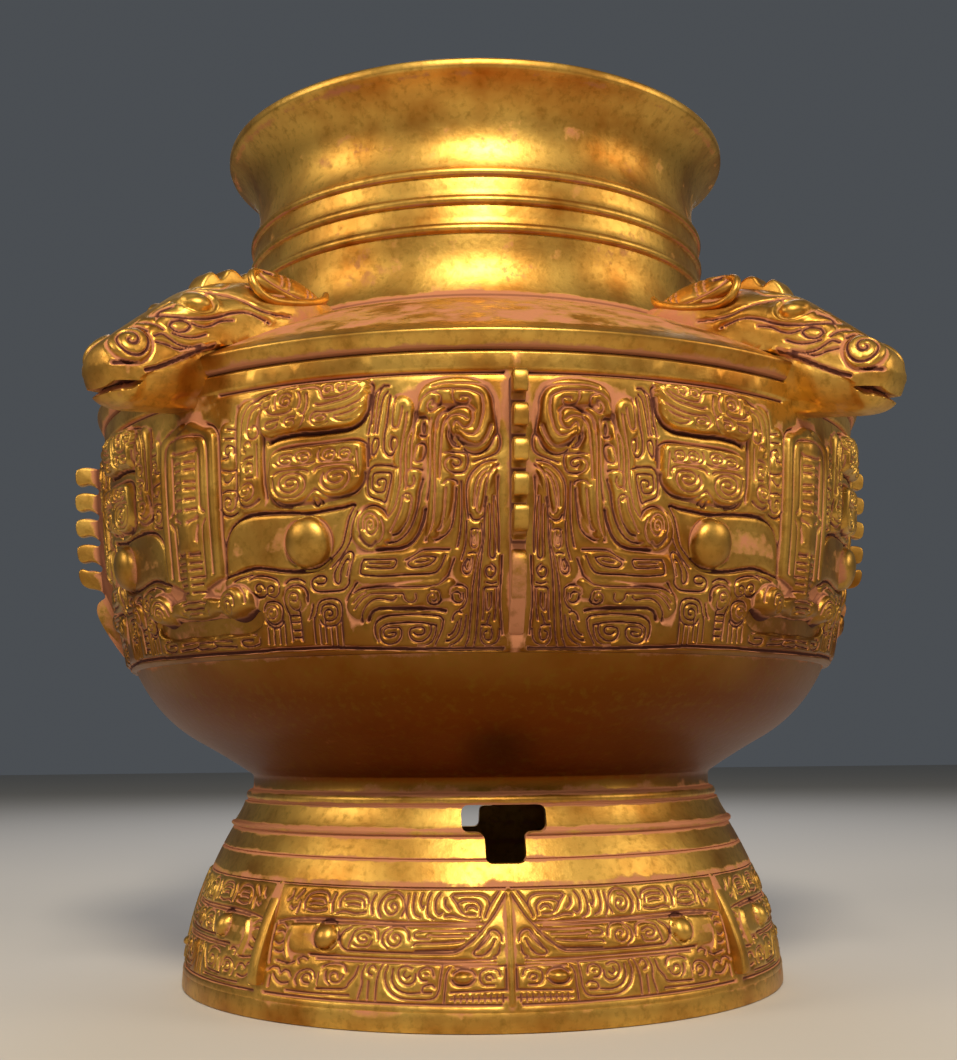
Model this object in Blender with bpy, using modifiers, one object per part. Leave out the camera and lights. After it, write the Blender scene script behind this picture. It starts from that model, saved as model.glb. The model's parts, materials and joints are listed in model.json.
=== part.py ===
"""Bronze wine jar, cast in one piece: a wide-shouldered vessel on a high hollow foot, with four hooked
flanges, four horned animal heads on the shoulder and a frieze of four animal masks round the belly.

Metres, +Z up, origin under the middle of the foot. One flange faces -Y.
"""
import math

import bmesh
import bpy
from mathutils import Matrix, Vector

# Main sizes of the vessel, metres. LEVEL is the unit of the heights that follow the whole height.
HEIGHT = 0.360
LEVEL = HEIGHT / 360
WALL = 0.004
TURN_SEGMENTS = 32
REPEATS = 4

LIP_RADIUS = 0.113
LIP_EDGE = 0.0042
NECK_RADIUS = 0.0990
NECK_HEIGHT = 331 * LEVEL
FLARE_BULGE = -0.13
STRING_RADIUS = 0.1012
STRING_PROUD = 0.0016
STRING_TALL = 0.0033
STRING_LOWEST = 293.6 * LEVEL
STRING_PITCH = 0.0115
STRING_COUNT = 3
NECK_BASE_RADIUS = 0.1044
NECK_BASE_HEIGHT = 266.6 * LEVEL
NECK_BASE_BULGE = -0.09
SHOULDER_BULGE = 0.02

KEEL_RADIUS = 0.1665
KEEL_HEIGHT = 235 * LEVEL
KEEL_BAND = 0.006
KEEL_EDGE = 0.0015
KEEL_UNDERCUT = 0.0035
FRIEZE_TOP = 221.3 * LEVEL
FRIEZE_TOP_RADIUS = 0.1624
FRIEZE_LOW = 129 * LEVEL
FRIEZE_LOW_RADIUS = 0.1515
FRIEZE_BULGE = 0.030
FRIEZE_STEP = 0.0045
BOWL_SIDE_HEIGHT = 97.8 * LEVEL
BOWL_BULGE = 0.085
STEM_RADIUS = 0.098
BOWL_SIDE_STEP = 0.021
BOWL_SIDE_RADIUS = STEM_RADIUS + BOWL_SIDE_STEP
STEM_TOP = 85 * LEVEL
STEM_LOW = 79.2 * LEVEL
FLOOR_TOP = 84 * LEVEL

RING_STEP = 0.0029
RING_RADIUS = STEM_RADIUS + RING_STEP
RING_LOW = 74.6 * LEVEL
FILLET_TOP = 66.5 * LEVEL
FILLET_LOW = 64.9 * LEVEL
FOOT_TOP_STEP = 0.0078
FOOT_TOP_RADIUS = STEM_RADIUS + FOOT_TOP_STEP
FILLET_RADIUS = FOOT_TOP_RADIUS + 0.0012
COLLAR_LOW_RADIUS = FOOT_TOP_RADIUS - 0.0003
COLLAR_TOP_RADIUS = FOOT_TOP_RADIUS - 0.0038
FOOT_TOP = 64.5 * LEVEL
FOOT_FRIEZE_LOW = 9.3 * LEVEL
FOOT_FRIEZE_TOP = 46.2 * LEVEL
FOOT_FRIEZE_LOW_RADIUS = 0.1253
FOOT_BULGE = 0.049
FOOT_RADIUS = 0.126

# Through holes shaped like a T, one under each flange
HOLE_WIDE = 0.031
HOLE_TALL = 0.0202
HOLE_TOP = 75.2 * LEVEL
HOLE_ARM = 0.0095
HOLE_STEM = 0.0147
HOLE_CORNER = 0.003

# Hooked flanges
FLANGE_THICK = 0.0050
FLANGE_PROUD = 0.0155
FLANGE_SPINE = 0.0058
FLANGE_TOP = 218.5 * LEVEL
FLANGE_LOW = 134 * LEVEL
TOOTH_COUNT = 5
TOOTH_PITCH = 0.0115
TOOTH_GAP = 0.0036

# Animal heads, sizes of one head
HEAD_BACK_RADIUS = NECK_BASE_RADIUS - 0.0079
SNOUT_RADIUS = 0.2010
HEAD_HALF_WIDTH = 0.0250
HEAD_CREST = NECK_BASE_HEIGHT - KEEL_HEIGHT + 0.0119
HORN_THICK = 0.0042
EYE_RADIUS = 0.0046
NOSTRIL_RADIUS = 0.0066
COMB_THICK = 0.0100
MOUTH_HEIGHT = KEEL_HEIGHT - 0.0130
MOUTH_OPEN = 0.0085
MOUTH_DEEP = 0.0125

# Relief heights
LINE_PROUD = 0.0014
BAND_PROUD = 0.0022
BLOCK_PROUD = 0.0034
LOBE_PROUD = 0.0042
NOSE_PROUD = 0.0040
EYE_PROUD = 0.0052
BOSS_PROUD = 0.0050
NOSTRIL_PROUD = 0.0078
FOOT_LINE_PROUD = 0.0012
FOOT_EYE_PROUD = 0.0042
FOOT_RIDGE_PROUD = 0.0048
FOOT_RIDGE_THICK = 0.0046

# Layout grids of the two friezes: one unit is close to a millimetre on the jar
MASK_WIDE = 126.0
MASK_TALL = 92.0
FOOT_WIDE = 95.0
FOOT_TALL = 37.0

RELIEF_ROOT = 0.002
CUT_OVER = 0.004
WELD = 0.00001
SLIVER = 0.0001
FLAT_ANGLE = math.radians(2.5)
SMOOTH_ANGLE = math.radians(32)
RIM_LEVEL = 0.99
QUARTER = math.tau / REPEATS
HALF_QUARTER = QUARTER / 2


def arc(start, end, bulge, steps):
    """Points after start up to end on an arc that stands off its chord by bulge times the chord's length."""
    a, b = Vector(start), Vector(end)
    chord = b - a
    side = Vector((-chord.y, chord.x))
    points = []
    for k in range(1, steps + 1):
        t = k / steps
        points.append(tuple(a + chord * t + side * bulge * 4 * t * (1 - t)))
    return points


def neck_outline():
    """The outer side from under the lip to the neck's base, top to bottom."""
    points = arc((LIP_RADIUS, HEIGHT - LIP_EDGE), (NECK_RADIUS, NECK_HEIGHT), FLARE_BULGE, 2)
    for k in reversed(range(STRING_COUNT)):
        low = STRING_LOWEST + k * STRING_PITCH
        points.append((STRING_RADIUS, low + STRING_TALL))
        points.append((STRING_RADIUS + STRING_PROUD, low + STRING_TALL * 0.25))
        points.append((STRING_RADIUS, low))
    base = (NECK_BASE_RADIUS, NECK_BASE_HEIGHT)
    return points + arc(points[-1], base, NECK_BASE_BULGE, 2)


def shoulder_outline():
    """The shoulder from the neck's base to the keel's edge."""
    return arc((NECK_BASE_RADIUS, NECK_BASE_HEIGHT), (KEEL_RADIUS, KEEL_HEIGHT), SHOULDER_BULGE, 2)


def frieze_outline():
    """The belly wall from the top of the frieze to its foot."""
    top = (FRIEZE_TOP_RADIUS, FRIEZE_TOP)
    return [top] + arc(top, (FRIEZE_LOW_RADIUS, FRIEZE_LOW), FRIEZE_BULGE, 2)


def bowl_outline():
    """The plain underside of the belly down to the stem."""
    start = (FRIEZE_LOW_RADIUS - FRIEZE_STEP, FRIEZE_LOW - FRIEZE_STEP * 0.2)
    side = (BOWL_SIDE_RADIUS, BOWL_SIDE_HEIGHT)
    return [start] + arc(start, side, BOWL_BULGE, 3) + [(STEM_RADIUS, STEM_TOP)]


def foot_outline():
    """The foot from the fillet under the collar to the ground."""
    top = (FOOT_TOP_RADIUS, FOOT_TOP)
    side = arc(top, (FOOT_FRIEZE_LOW_RADIUS, FOOT_FRIEZE_LOW), FOOT_BULGE, 2)
    return [top] + side + [(FOOT_RADIUS, 0.0)]


def outer_profile():
    """The whole outer side, from the middle of the mouth's plane to the middle of the ground."""
    keel_low = KEEL_HEIGHT - KEEL_BAND
    points = [(0.0, HEIGHT), (LIP_RADIUS, HEIGHT), (LIP_RADIUS, HEIGHT - LIP_EDGE)]
    points += neck_outline() + shoulder_outline()
    points += [(KEEL_RADIUS - KEEL_EDGE * 0.3, KEEL_HEIGHT - KEEL_EDGE), (KEEL_RADIUS - KEEL_UNDERCUT, keel_low)]
    points += frieze_outline() + bowl_outline()
    points += [(STEM_RADIUS, STEM_LOW), (RING_RADIUS, (STEM_LOW + RING_LOW) / 2)]
    points += [(COLLAR_TOP_RADIUS, RING_LOW), (COLLAR_LOW_RADIUS, FILLET_TOP)]
    points += [(FILLET_RADIUS, FILLET_TOP), (FILLET_RADIUS, FILLET_LOW)]
    return points + foot_outline() + [(0.0, 0.0)]


def inset(points, distance):
    """A profile moved inwards by a wall's thickness, square to its own direction."""
    moved = []
    for k, point in enumerate(points):
        here = Vector(point)
        before = Vector(points[max(k - 1, 0)])
        after = Vector(points[min(k + 1, len(points) - 1)])
        along = (after - before).normalized()
        moved.append(tuple(here + Vector((along.y, -along.x)) * distance))
    return moved


def bowl_cavity():
    """The hollow inside the vessel, open above the lip."""
    keel = (KEEL_RADIUS - KEEL_UNDERCUT, KEEL_HEIGHT - KEEL_BAND)
    side = [(LIP_RADIUS, HEIGHT)]
    side += arc((LIP_RADIUS, HEIGHT), (NECK_RADIUS, NECK_HEIGHT), FLARE_BULGE, 2)
    side += [(STRING_RADIUS, STRING_LOWEST), (NECK_BASE_RADIUS, NECK_BASE_HEIGHT), keel]
    side += [frieze_outline()[1], bowl_outline()[1], bowl_outline()[3]]
    side = inset(side, WALL)
    top = (side[0][0] + CUT_OVER / 2, HEIGHT + CUT_OVER)
    below = [point for point in side if point[1] > FLOOR_TOP + WALL]
    return [(0.0, top[1]), top] + below + [(STEM_RADIUS - WALL, FLOOR_TOP), (0.0, FLOOR_TOP)]


def foot_cavity():
    """The hollow under the floor, open below."""
    ceiling = FLOOR_TOP - WALL
    side = inset(foot_outline(), WALL)[:-1]
    below = (FOOT_RADIUS - WALL, -CUT_OVER)
    return [(0.0, ceiling), (STEM_RADIUS - WALL, ceiling)] + side + [below, (0.0, -CUT_OVER)]


def wall_radius(z):
    """Radius of the belly wall at a height in the frieze."""
    rows = frieze_outline()
    for (r_up, z_up), (r_low, z_low) in zip(rows, rows[1:]):
        if z >= z_low:
            return r_low + (r_up - r_low) * (z - z_low) / (z_up - z_low)
    return rows[-1][0]


def foot_radius(z):
    """Radius of the foot wall at a height."""
    rows = foot_outline()
    for (r_up, z_up), (r_low, z_low) in zip(rows, rows[1:]):
        if z >= z_low:
            return r_low + (r_up - r_low) * (z - z_low) / (z_up - z_low)
    return rows[-1][0]


def on_belly(u, v, proud):
    """Places a point of the mask grid on the belly, u from the flange and v up the frieze."""
    angle = u / MASK_WIDE * HALF_QUARTER - math.pi / 2
    z = FRIEZE_LOW + v / MASK_TALL * (FRIEZE_TOP - FRIEZE_LOW)
    r = wall_radius(z) + proud
    return Vector((r * math.cos(angle), r * math.sin(angle), z))


def on_foot(u, v, proud):
    """Places a point of the foot's grid on the foot."""
    angle = u / FOOT_WIDE * HALF_QUARTER - math.pi / 2
    z = FOOT_FRIEZE_LOW + v / FOOT_TALL * (FOOT_FRIEZE_TOP - FOOT_FRIEZE_LOW)
    r = foot_radius(z) + proud
    return Vector((r * math.cos(angle), r * math.sin(angle), z))


def rounded(corners, radius, steps=2):
    """A polygon with each corner cut by a short arc."""
    points = []
    for k, corner in enumerate(corners):
        here = Vector(corner)
        before = (Vector(corners[k - 1]) - here).normalized() * radius
        after = (Vector(corners[(k + 1) % len(corners)]) - here).normalized() * radius
        for s in range(steps + 1):
            t = s / steps
            points.append(tuple(here + before * (1 - t) ** 2 + after * t ** 2))
    return points


def mirrored(points, axis):
    """The whole outline of a shape that is given as its half up to an axis."""
    return points + [(2 * axis - u, v) for u, v in reversed(points)]


def new_mesh_object(name, bm, collection):
    """Turns a bmesh into an object of a collection."""
    mesh = bpy.data.meshes.new(name)
    bm.to_mesh(mesh)
    bm.free()
    made = bpy.data.objects.new(name, mesh)
    collection.objects.link(made)
    return made


def slab(outline, low, high):
    """A closed plate between two heights over a flat outline."""
    curve = bpy.data.curves.new("outline", "CURVE")
    curve.dimensions = "2D"
    curve.fill_mode = "BOTH"
    curve.extrude = (high - low) / 2
    spline = curve.splines.new("POLY")
    spline.points.add(len(outline) - 1)
    for point, (x, y) in zip(spline.points, outline):
        point.co = (x, y, 0.0, 1.0)
    spline.use_cyclic_u = True
    flat = bpy.data.objects.new("outline", curve)
    guides.objects.link(flat)
    evaluated = flat.evaluated_get(bpy.context.evaluated_depsgraph_get())
    mesh = bpy.data.meshes.new_from_object(evaluated)
    bm = bmesh.new()
    bm.from_mesh(mesh)
    bpy.data.objects.remove(flat)
    bpy.data.curves.remove(curve)
    bpy.data.meshes.remove(mesh)
    bmesh.ops.remove_doubles(bm, verts=bm.verts, dist=WELD)
    bmesh.ops.translate(bm, verts=bm.verts, vec=(0, 0, (low + high) / 2))
    return bm


def add_to(target, source):
    """Moves the faces of one bmesh into another."""
    mesh = bpy.data.meshes.new("part of a relief")
    source.to_mesh(mesh)
    source.free()
    target.from_mesh(mesh)
    bpy.data.meshes.remove(mesh)


def rib(path, widths, proud):
    """A raised line with a ridge along its middle."""
    bm = bmesh.new()
    rows = []
    for k, point in enumerate(path):
        here = Vector(point)
        along = Vector(path[min(k + 1, len(path) - 1)]) - Vector(path[max(k - 1, 0)])
        side = Vector((-along.y, along.x)).normalized() * widths[k] / 2
        root = -RELIEF_ROOT - proud * 0.1
        rows.append([bm.verts.new((*(here + side), root)), bm.verts.new((*(here - side), root)),
                     bm.verts.new((*here, proud))])
    for near, far in zip(rows, rows[1:]):
        for k in range(3):
            n = (k + 1) % 3
            bm.faces.new((near[k], near[n], far[n], far[k]))
    bm.faces.new(rows[0])
    bm.faces.new(rows[-1])
    return bm


def raised_slab(outline, proud):
    """A flat-topped relief rooted in the wall."""
    return slab(outline, -RELIEF_ROOT - proud * 0.1, proud)


def creased(bm, u):
    """Cuts a wide slab across at u, so that it bends with the wall."""
    geometry = bm.verts[:] + bm.edges[:] + bm.faces[:]
    bmesh.ops.bisect_plane(bm, geom=geometry, dist=WELD, plane_co=(u, 0, 0), plane_no=(1, 0, 0))
    return bm


def dome(centre, radii, segments, rings):
    """A bulging boss in grid units across and metres high."""
    bm = bmesh.new()
    bmesh.ops.create_uvsphere(bm, u_segments=segments, v_segments=rings, radius=1.0)
    bmesh.ops.scale(bm, verts=bm.verts, vec=radii)
    bmesh.ops.translate(bm, verts=bm.verts, vec=(centre[0], centre[1], 0.0))
    return bm


def spiral_boss(centre, radius, proud, segments):
    """A round boss with a sloping side, rising to its middle."""
    bm = bmesh.new()
    bmesh.ops.create_cone(bm, cap_ends=True, segments=segments, radius1=radius * 1.2, radius2=radius * 0.3,
                          depth=1.0)
    bmesh.ops.scale(bm, verts=bm.verts, vec=(1, 1, proud + RELIEF_ROOT))
    bmesh.ops.translate(bm, verts=bm.verts, vec=(centre[0], centre[1], (proud - RELIEF_ROOT) / 2))
    return bm


def mask_half():
    """The main forms of half a mask, from the flange to the nose, as flat pieces on the mask grid."""
    lobe = [(44, 91), (48, 82), (57, 76.5), (89, 75.5), (89, 86), (78, 91)]
    block = [(48.5, 54), (53, 49.5), (89, 49.5), (89, 66), (84, 71.5), (50, 71.5)]
    pieces = [
        rib([(31, 79), (27, 85), (13, 83), (12, 70), (20, 73)], [4, 8, 9, 8, 4], BLOCK_PROUD),
        rib([(26, 77), (25, 50), (29, 37)], [7, 8, 3], BAND_PROUD),
        rib([(38, 90), (36, 60), (40, 44), (50, 39)], [10, 9, 8, 5], BAND_PROUD),
        rib([(24, 20), (55, 15)], [6, 10], BAND_PROUD),
        rib([(97, 80), (97, 51)], [11, 11], BAND_PROUD),
        creased(raised_slab(lobe, LOBE_PROUD), 68),
        creased(raised_slab(block, BLOCK_PROUD), 68),
        rib([(28, 27), (56, 27)], [12, 9], LINE_PROUD),
        dome((73, 36.5), (8.6, 8.6, EYE_PROUD), 6, 4),
        spiral_boss((49.5, 41), 7, BOSS_PROUD, 5),
        spiral_boss((104, 19), 8, NOSTRIL_PROUD, 5),
    ]
    return pieces


def mask_middle():
    """The forms that cross the mask's middle line: the nose, its bridge and the lips."""
    nose = mirrored([(111, 27), (111, 80)], MASK_WIDE)
    lip = mirrored([(108, 12), (108, 18)], MASK_WIDE)
    bridge = rib([(MASK_WIDE, 24), (MASK_WIDE, 76)], [12, 12], NOSE_PROUD)
    return [bridge, raised_slab(nose, BAND_PROUD), raised_slab(lip, BLOCK_PROUD)]


def foot_half():
    """The main forms of half a foot panel."""
    return [
        rib([(4, 22), (24, 22), (48, 22), (70, 22), (86, 22)], [5, 8, 9, 13, 13], FOOT_LINE_PROUD),
        spiral_boss((66, 22), 4.4, FOOT_EYE_PROUD, 5),
    ]


def flipped(bm):
    """Mirrors a flat piece across the flange's line."""
    bmesh.ops.scale(bm, verts=bm.verts, vec=(-1, 1, 1))


def quarter_relief(name, half, middle, place):
    """One quarter of a frieze, from the middle line of one panel to the next, around a flange."""
    whole = bmesh.new()
    lefts = half()
    for piece in lefts:
        flipped(piece)
    for piece in half() + lefts + middle():
        bmesh.ops.recalc_face_normals(piece, faces=piece.faces)
        for vert in piece.verts:
            vert.co = place(*vert.co)
        add_to(whole, piece)
    return new_mesh_object(name, whole, guides)


def copies_around(source, collection, offset=0.0):
    """Sets a turned copy of a piece at every repeat."""
    guides.objects.unlink(source)
    for k in range(REPEATS):
        copy = source.copy()
        copy.name = f"{source.name}_{k + 1}"
        copy.matrix_world = Matrix.Rotation(offset + k * QUARTER, 4, "Z")
        copy.hide_render = True
        copy.display_type = "WIRE"
        collection.objects.link(copy)
    bpy.data.objects.remove(source)


def turned(name, profile, collection):
    """A closed turned shape from a profile that starts and ends on the axis."""
    bm = bmesh.new()
    verts = [bm.verts.new((r, 0.0, z)) for r, z in profile]
    for first, second in zip(verts, verts[1:]):
        bm.edges.new((first, second))
    made = new_mesh_object(name, bm, collection)
    screw = made.modifiers.new("Turn", "SCREW")
    screw.angle = math.tau
    screw.steps = TURN_SEGMENTS
    screw.render_steps = TURN_SEGMENTS
    screw.use_merge_vertices = True
    screw.merge_threshold = WELD
    screw.use_smooth_shade = True
    return made


def flange_outline():
    """Radius and height of a flange's edge: the teeth from the top down, then the low fin."""
    spine, tip = FLANGE_SPINE, FLANGE_PROUD
    block = TOOTH_PITCH - TOOTH_GAP
    corner = block * 0.15
    edge = []
    for k in range(TOOTH_COUNT):
        z = FLANGE_TOP - k * TOOTH_PITCH
        edge += [(spine, z), (tip - corner, z), (tip, z - corner), (tip, z - block)]
        edge.append((spine, z - block * 0.92))
    z = FLANGE_TOP - TOOTH_COUNT * TOOTH_PITCH
    fin = z - FLANGE_LOW
    edge += [(spine, z), (spine * 1.6, z - fin * 0.08), (spine * 1.7, z - fin * 0.4),
             (spine * 0.7, z - fin * 0.8), (0.0, FLANGE_LOW)]
    outline = [(wall_radius(z) + h, z) for h, z in edge]
    root = FRIEZE_LOW_RADIUS - WALL
    return outline + [(root, FLANGE_LOW), (root, FLANGE_TOP)]


def upright(bm):
    """Stands a flat plate drawn as radius and height in the plane through the axis and the front."""
    for vert in bm.verts:
        radius, z, sideways = vert.co
        vert.co = (-sideways, -radius, z)


def flange():
    """One hooked flange on the front of the belly."""
    plate = slab(flange_outline(), -FLANGE_THICK / 2, FLANGE_THICK / 2)
    upright(plate)
    return new_mesh_object("flange", plate, guides)


def foot_ridge():
    """One upright ridge of the foot's frieze, which swells towards its lower end."""
    tall = FOOT_FRIEZE_TOP - FOOT_FRIEZE_LOW
    edge = [(0.05, 1.0), (0.55, 0.8), (0.9, 0.5), (1.0, 0.28), (0.85, 0.12), (0.0, 0.06)]
    outline = []
    for proud, share in edge:
        z = FOOT_FRIEZE_LOW + share * tall
        outline.append((foot_radius(z) + proud * FOOT_RIDGE_PROUD, z))
    root = FOOT_TOP_RADIUS
    outline += [(root, outline[-1][1]), (root, outline[0][1])]
    plate = slab(outline, -FOOT_RIDGE_THICK / 2, FOOT_RIDGE_THICK / 2)
    upright(plate)
    return new_mesh_object("foot_ridge", plate, guides)


def through_hole():
    """The T-shaped cutter for the hole under the front flange."""
    arm, stem = HOLE_WIDE / 2, HOLE_STEM / 2
    low_arm = HOLE_TOP - HOLE_ARM
    low = HOLE_TOP - HOLE_TALL
    corners = [(-arm, HOLE_TOP), (-arm, low_arm), (-stem, low_arm), (-stem, low),
               (stem, low), (stem, low_arm), (arm, low_arm), (arm, HOLE_TOP)]
    plate = slab(rounded(corners, HOLE_CORNER, 1), STEM_RADIUS - 2 * WALL, FOOT_RADIUS)
    for vert in plate.verts:
        x, z, outwards = vert.co
        vert.co = (x, -outwards, z)
    return new_mesh_object("through_hole", plate, guides)


def head_point(reach, side, rise):
    """A point of the front head: reach from its back to its snout, side and rise as shares of its size."""
    radius = HEAD_BACK_RADIUS + reach * (SNOUT_RADIUS - HEAD_BACK_RADIUS)
    return Vector((side * HEAD_HALF_WIDTH, -radius, KEEL_HEIGHT + rise * HEAD_CREST))


def head_block():
    """Skull, snout and lower jaw as one loft of rings from the back of the head to the snout."""
    rings = [(0.03, 0.56, 0.80, 0.50), (0.20, 0.98, 0.91, 0.45), (0.50, 0.90, 0.82, 0.0),
             (0.66, 0.74, 0.68, -0.35), (0.83, 0.61, 0.36, -0.45), (0.96, 0.48, 0.07, -0.49),
             (1.0, 0.30, -0.05, -0.47)]
    bm = bmesh.new()
    rows = []
    for reach, wide, top, low in rings:
        tall = top - low
        half = [(0.0, top), (0.62 * wide, top - 0.06 * tall), (wide, top - 0.33 * tall),
                (0.86 * wide, low + 0.2 * tall)]
        section = half + [(0.0, low)] + [(-side, rise) for side, rise in half[:0:-1]]
        rows.append([bm.verts.new(head_point(reach, side, rise)) for side, rise in section])
    for near, far in zip(rows, rows[1:]):
        for k in range(len(near)):
            n = (k + 1) % len(near)
            bm.faces.new((near[k], near[n], far[n], far[k]))
    bm.faces.new(rows[0])
    bm.faces.new(rows[-1])
    bmesh.ops.recalc_face_normals(bm, faces=bm.faces)
    return bm


def tube(path, radii):
    """A closed tube of five sides along a path, with its own radius at each point."""
    curve = bpy.data.curves.new("tube", "CURVE")
    curve.dimensions = "3D"
    curve.bevel_depth = 1.0
    curve.bevel_resolution = 0
    curve.use_fill_caps = True
    spline = curve.splines.new("POLY")
    spline.points.add(len(path) - 1)
    for point, place, radius in zip(spline.points, path, radii):
        point.co = (*place, 1.0)
        point.radius = radius
    made = bpy.data.objects.new("tube", curve)
    guides.objects.link(made)
    evaluated = made.evaluated_get(bpy.context.evaluated_depsgraph_get())
    mesh = bpy.data.meshes.new_from_object(evaluated)
    bm = bmesh.new()
    bm.from_mesh(mesh)
    bpy.data.objects.remove(made)
    bpy.data.curves.remove(curve)
    bpy.data.meshes.remove(mesh)
    bmesh.ops.remove_doubles(bm, verts=bm.verts, dist=WELD)
    bmesh.ops.recalc_face_normals(bm, faces=bm.faces)
    return bm


def ball(centre, radius):
    """A coarse round boss at a point of the head."""
    bm = bmesh.new()
    bmesh.ops.create_icosphere(bm, subdivisions=1, radius=radius)
    bmesh.ops.translate(bm, verts=bm.verts, vec=centre)
    return bm


def head():
    """One horned head facing the front."""
    whole = bmesh.new()
    add_to(whole, head_block())
    add_to(whole, comb())
    horn = [(0.09, 0.66, 0.76), (0.26, 0.99, 0.65), (0.47, 0.90, 0.68), (0.43, 0.56, 0.88)]
    thick = [0.8, 1.0, 1.0, 0.7]
    for side in (-1, 1):
        path = [head_point(reach, side * across, rise) for reach, across, rise in horn]
        add_to(whole, tube(path, [HORN_THICK * share for share in thick]))
        add_to(whole, ball(head_point(0.67, side * 0.60, 0.48), EYE_RADIUS))
        add_to(whole, ball(head_point(0.925, side * 0.42, 0.03), NOSTRIL_RADIUS))
    return new_mesh_object("head", whole, guides)


def comb():
    """The row of knobs along the front head's crest, drawn as shares of its reach and rise."""
    edge = [(0.60, 0.60), (0.555, 0.86), (0.515, 0.77), (0.475, 0.93), (0.43, 0.86), (0.37, 0.97),
            (0.31, 0.60)]
    side = [head_point(reach, 0.0, rise) for reach, rise in edge]
    plate = slab([(-place.y, place.z) for place in side], -COMB_THICK / 2, COMB_THICK / 2)
    upright(plate)
    return plate


def mouth():
    """The wedge that opens the front head's mouth."""
    front = SNOUT_RADIUS + CUT_OVER
    outline = [(SNOUT_RADIUS - MOUTH_DEEP, MOUTH_HEIGHT), (front, MOUTH_HEIGHT - MOUTH_OPEN / 8),
               (front, MOUTH_HEIGHT - MOUTH_OPEN)]
    plate = slab(outline, -HEAD_HALF_WIDTH, HEAD_HALF_WIDTH)
    upright(plate)
    return new_mesh_object("mouth", plate, guides)


def boolean(target, operation, collection):
    """Joins or cuts a part with everything in a collection."""
    modifier = target.modifiers.new(operation.title(), "BOOLEAN")
    modifier.operation = operation
    modifier.operand_type = "COLLECTION"
    modifier.collection = collection
    modifier.solver = "EXACT"
    modifier.use_self = True


def new_collection(name):
    """A collection under the scene's own."""
    made = bpy.data.collections.new(name)
    bpy.context.scene.collection.children.link(made)
    return made


def gilt_bronze():
    """Worn gilding over bronze."""
    material = bpy.data.materials.new("gilt bronze")
    material.use_nodes = True
    shader = material.node_tree.nodes["Principled BSDF"]
    shader.inputs["Base Color"].default_value = (0.56, 0.33, 0.08, 1.0)
    shader.inputs["Metallic"].default_value = 1.0
    shader.inputs["Roughness"].default_value = 0.38
    return material


def settle(target, material):
    """Turns the finished shape into a plain mesh with smooth round surfaces."""
    evaluated = target.evaluated_get(bpy.context.evaluated_depsgraph_get())
    mesh = bpy.data.meshes.new_from_object(evaluated)
    bm = bmesh.new()
    bm.from_mesh(mesh)
    bmesh.ops.remove_doubles(bm, verts=bm.verts, dist=SLIVER)
    walls = [edge for edge in bm.edges if all(abs(face.normal.z) < RIM_LEVEL for face in edge.link_faces)]
    corners = [vert for vert in bm.verts if all(abs(face.normal.z) < RIM_LEVEL for face in vert.link_faces)]
    bmesh.ops.dissolve_limit(bm, angle_limit=FLAT_ANGLE, edges=walls, verts=corners)
    bmesh.ops.triangulate(bm, faces=bm.faces)
    bm.to_mesh(mesh)
    bm.free()
    mesh.materials.clear()
    mesh.materials.append(material)
    mesh.shade_smooth()
    mesh.set_sharp_from_angle(angle=SMOOTH_ANGLE)
    target.modifiers.clear()
    target.data = mesh


for old in list(bpy.data.objects):
    bpy.data.objects.remove(old)

parts = new_collection("bronze wine jar")
guides = new_collection("guides")
raised = new_collection("raised shapes")
hollow = new_collection("hollow shapes")

jar = turned("wine_jar", outer_profile(), parts)
copies_around(quarter_relief("mask", mask_half, mask_middle, on_belly), raised)
copies_around(quarter_relief("foot_panel", foot_half, list, on_foot), raised)
copies_around(flange(), raised)
copies_around(foot_ridge(), raised, HALF_QUARTER)
copies_around(head(), raised, HALF_QUARTER)
copies_around(through_hole(), hollow)
copies_around(mouth(), hollow, HALF_QUARTER)
cavities = [turned("bowl_cavity", bowl_cavity(), hollow), turned("foot_cavity", foot_cavity(), hollow)]
for cavity in cavities:
    cavity.hide_render = True
    cavity.display_type = "WIRE"
boolean(jar, "UNION", raised)
boolean(jar, "DIFFERENCE", hollow)
settle(jar, gilt_bronze())
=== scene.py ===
import json
from math import ceil, floor, pi, radians

import bmesh
import bpy
import numpy as np
from mathutils import Euler, Matrix, Vector

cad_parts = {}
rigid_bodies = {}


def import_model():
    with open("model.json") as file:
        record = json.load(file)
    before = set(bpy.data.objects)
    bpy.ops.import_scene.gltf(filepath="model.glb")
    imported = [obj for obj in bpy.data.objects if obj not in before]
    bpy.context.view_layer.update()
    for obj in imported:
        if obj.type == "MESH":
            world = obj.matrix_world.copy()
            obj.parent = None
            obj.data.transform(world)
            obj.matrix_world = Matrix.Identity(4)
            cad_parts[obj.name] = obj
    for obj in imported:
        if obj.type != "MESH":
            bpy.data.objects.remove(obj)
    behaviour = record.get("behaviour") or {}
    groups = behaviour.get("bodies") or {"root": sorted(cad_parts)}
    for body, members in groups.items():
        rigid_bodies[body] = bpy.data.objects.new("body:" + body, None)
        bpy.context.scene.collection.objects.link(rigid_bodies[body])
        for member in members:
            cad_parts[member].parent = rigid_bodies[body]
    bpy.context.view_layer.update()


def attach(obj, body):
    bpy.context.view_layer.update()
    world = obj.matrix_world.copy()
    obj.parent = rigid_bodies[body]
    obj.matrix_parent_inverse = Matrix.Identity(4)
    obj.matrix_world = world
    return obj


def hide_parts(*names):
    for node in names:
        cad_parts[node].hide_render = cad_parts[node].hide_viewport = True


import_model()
node = "wine_jar"
mm = 0.001
# stands a plate of reach and height upright on the front line
frontUp = Matrix(((0, 0, -1, 0), (-1, 0, 0, 0), (0, 1, 0, 0), (0, 0, 0, 1)))
print("frame loaded")


# curves through given points, all in mm

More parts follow.
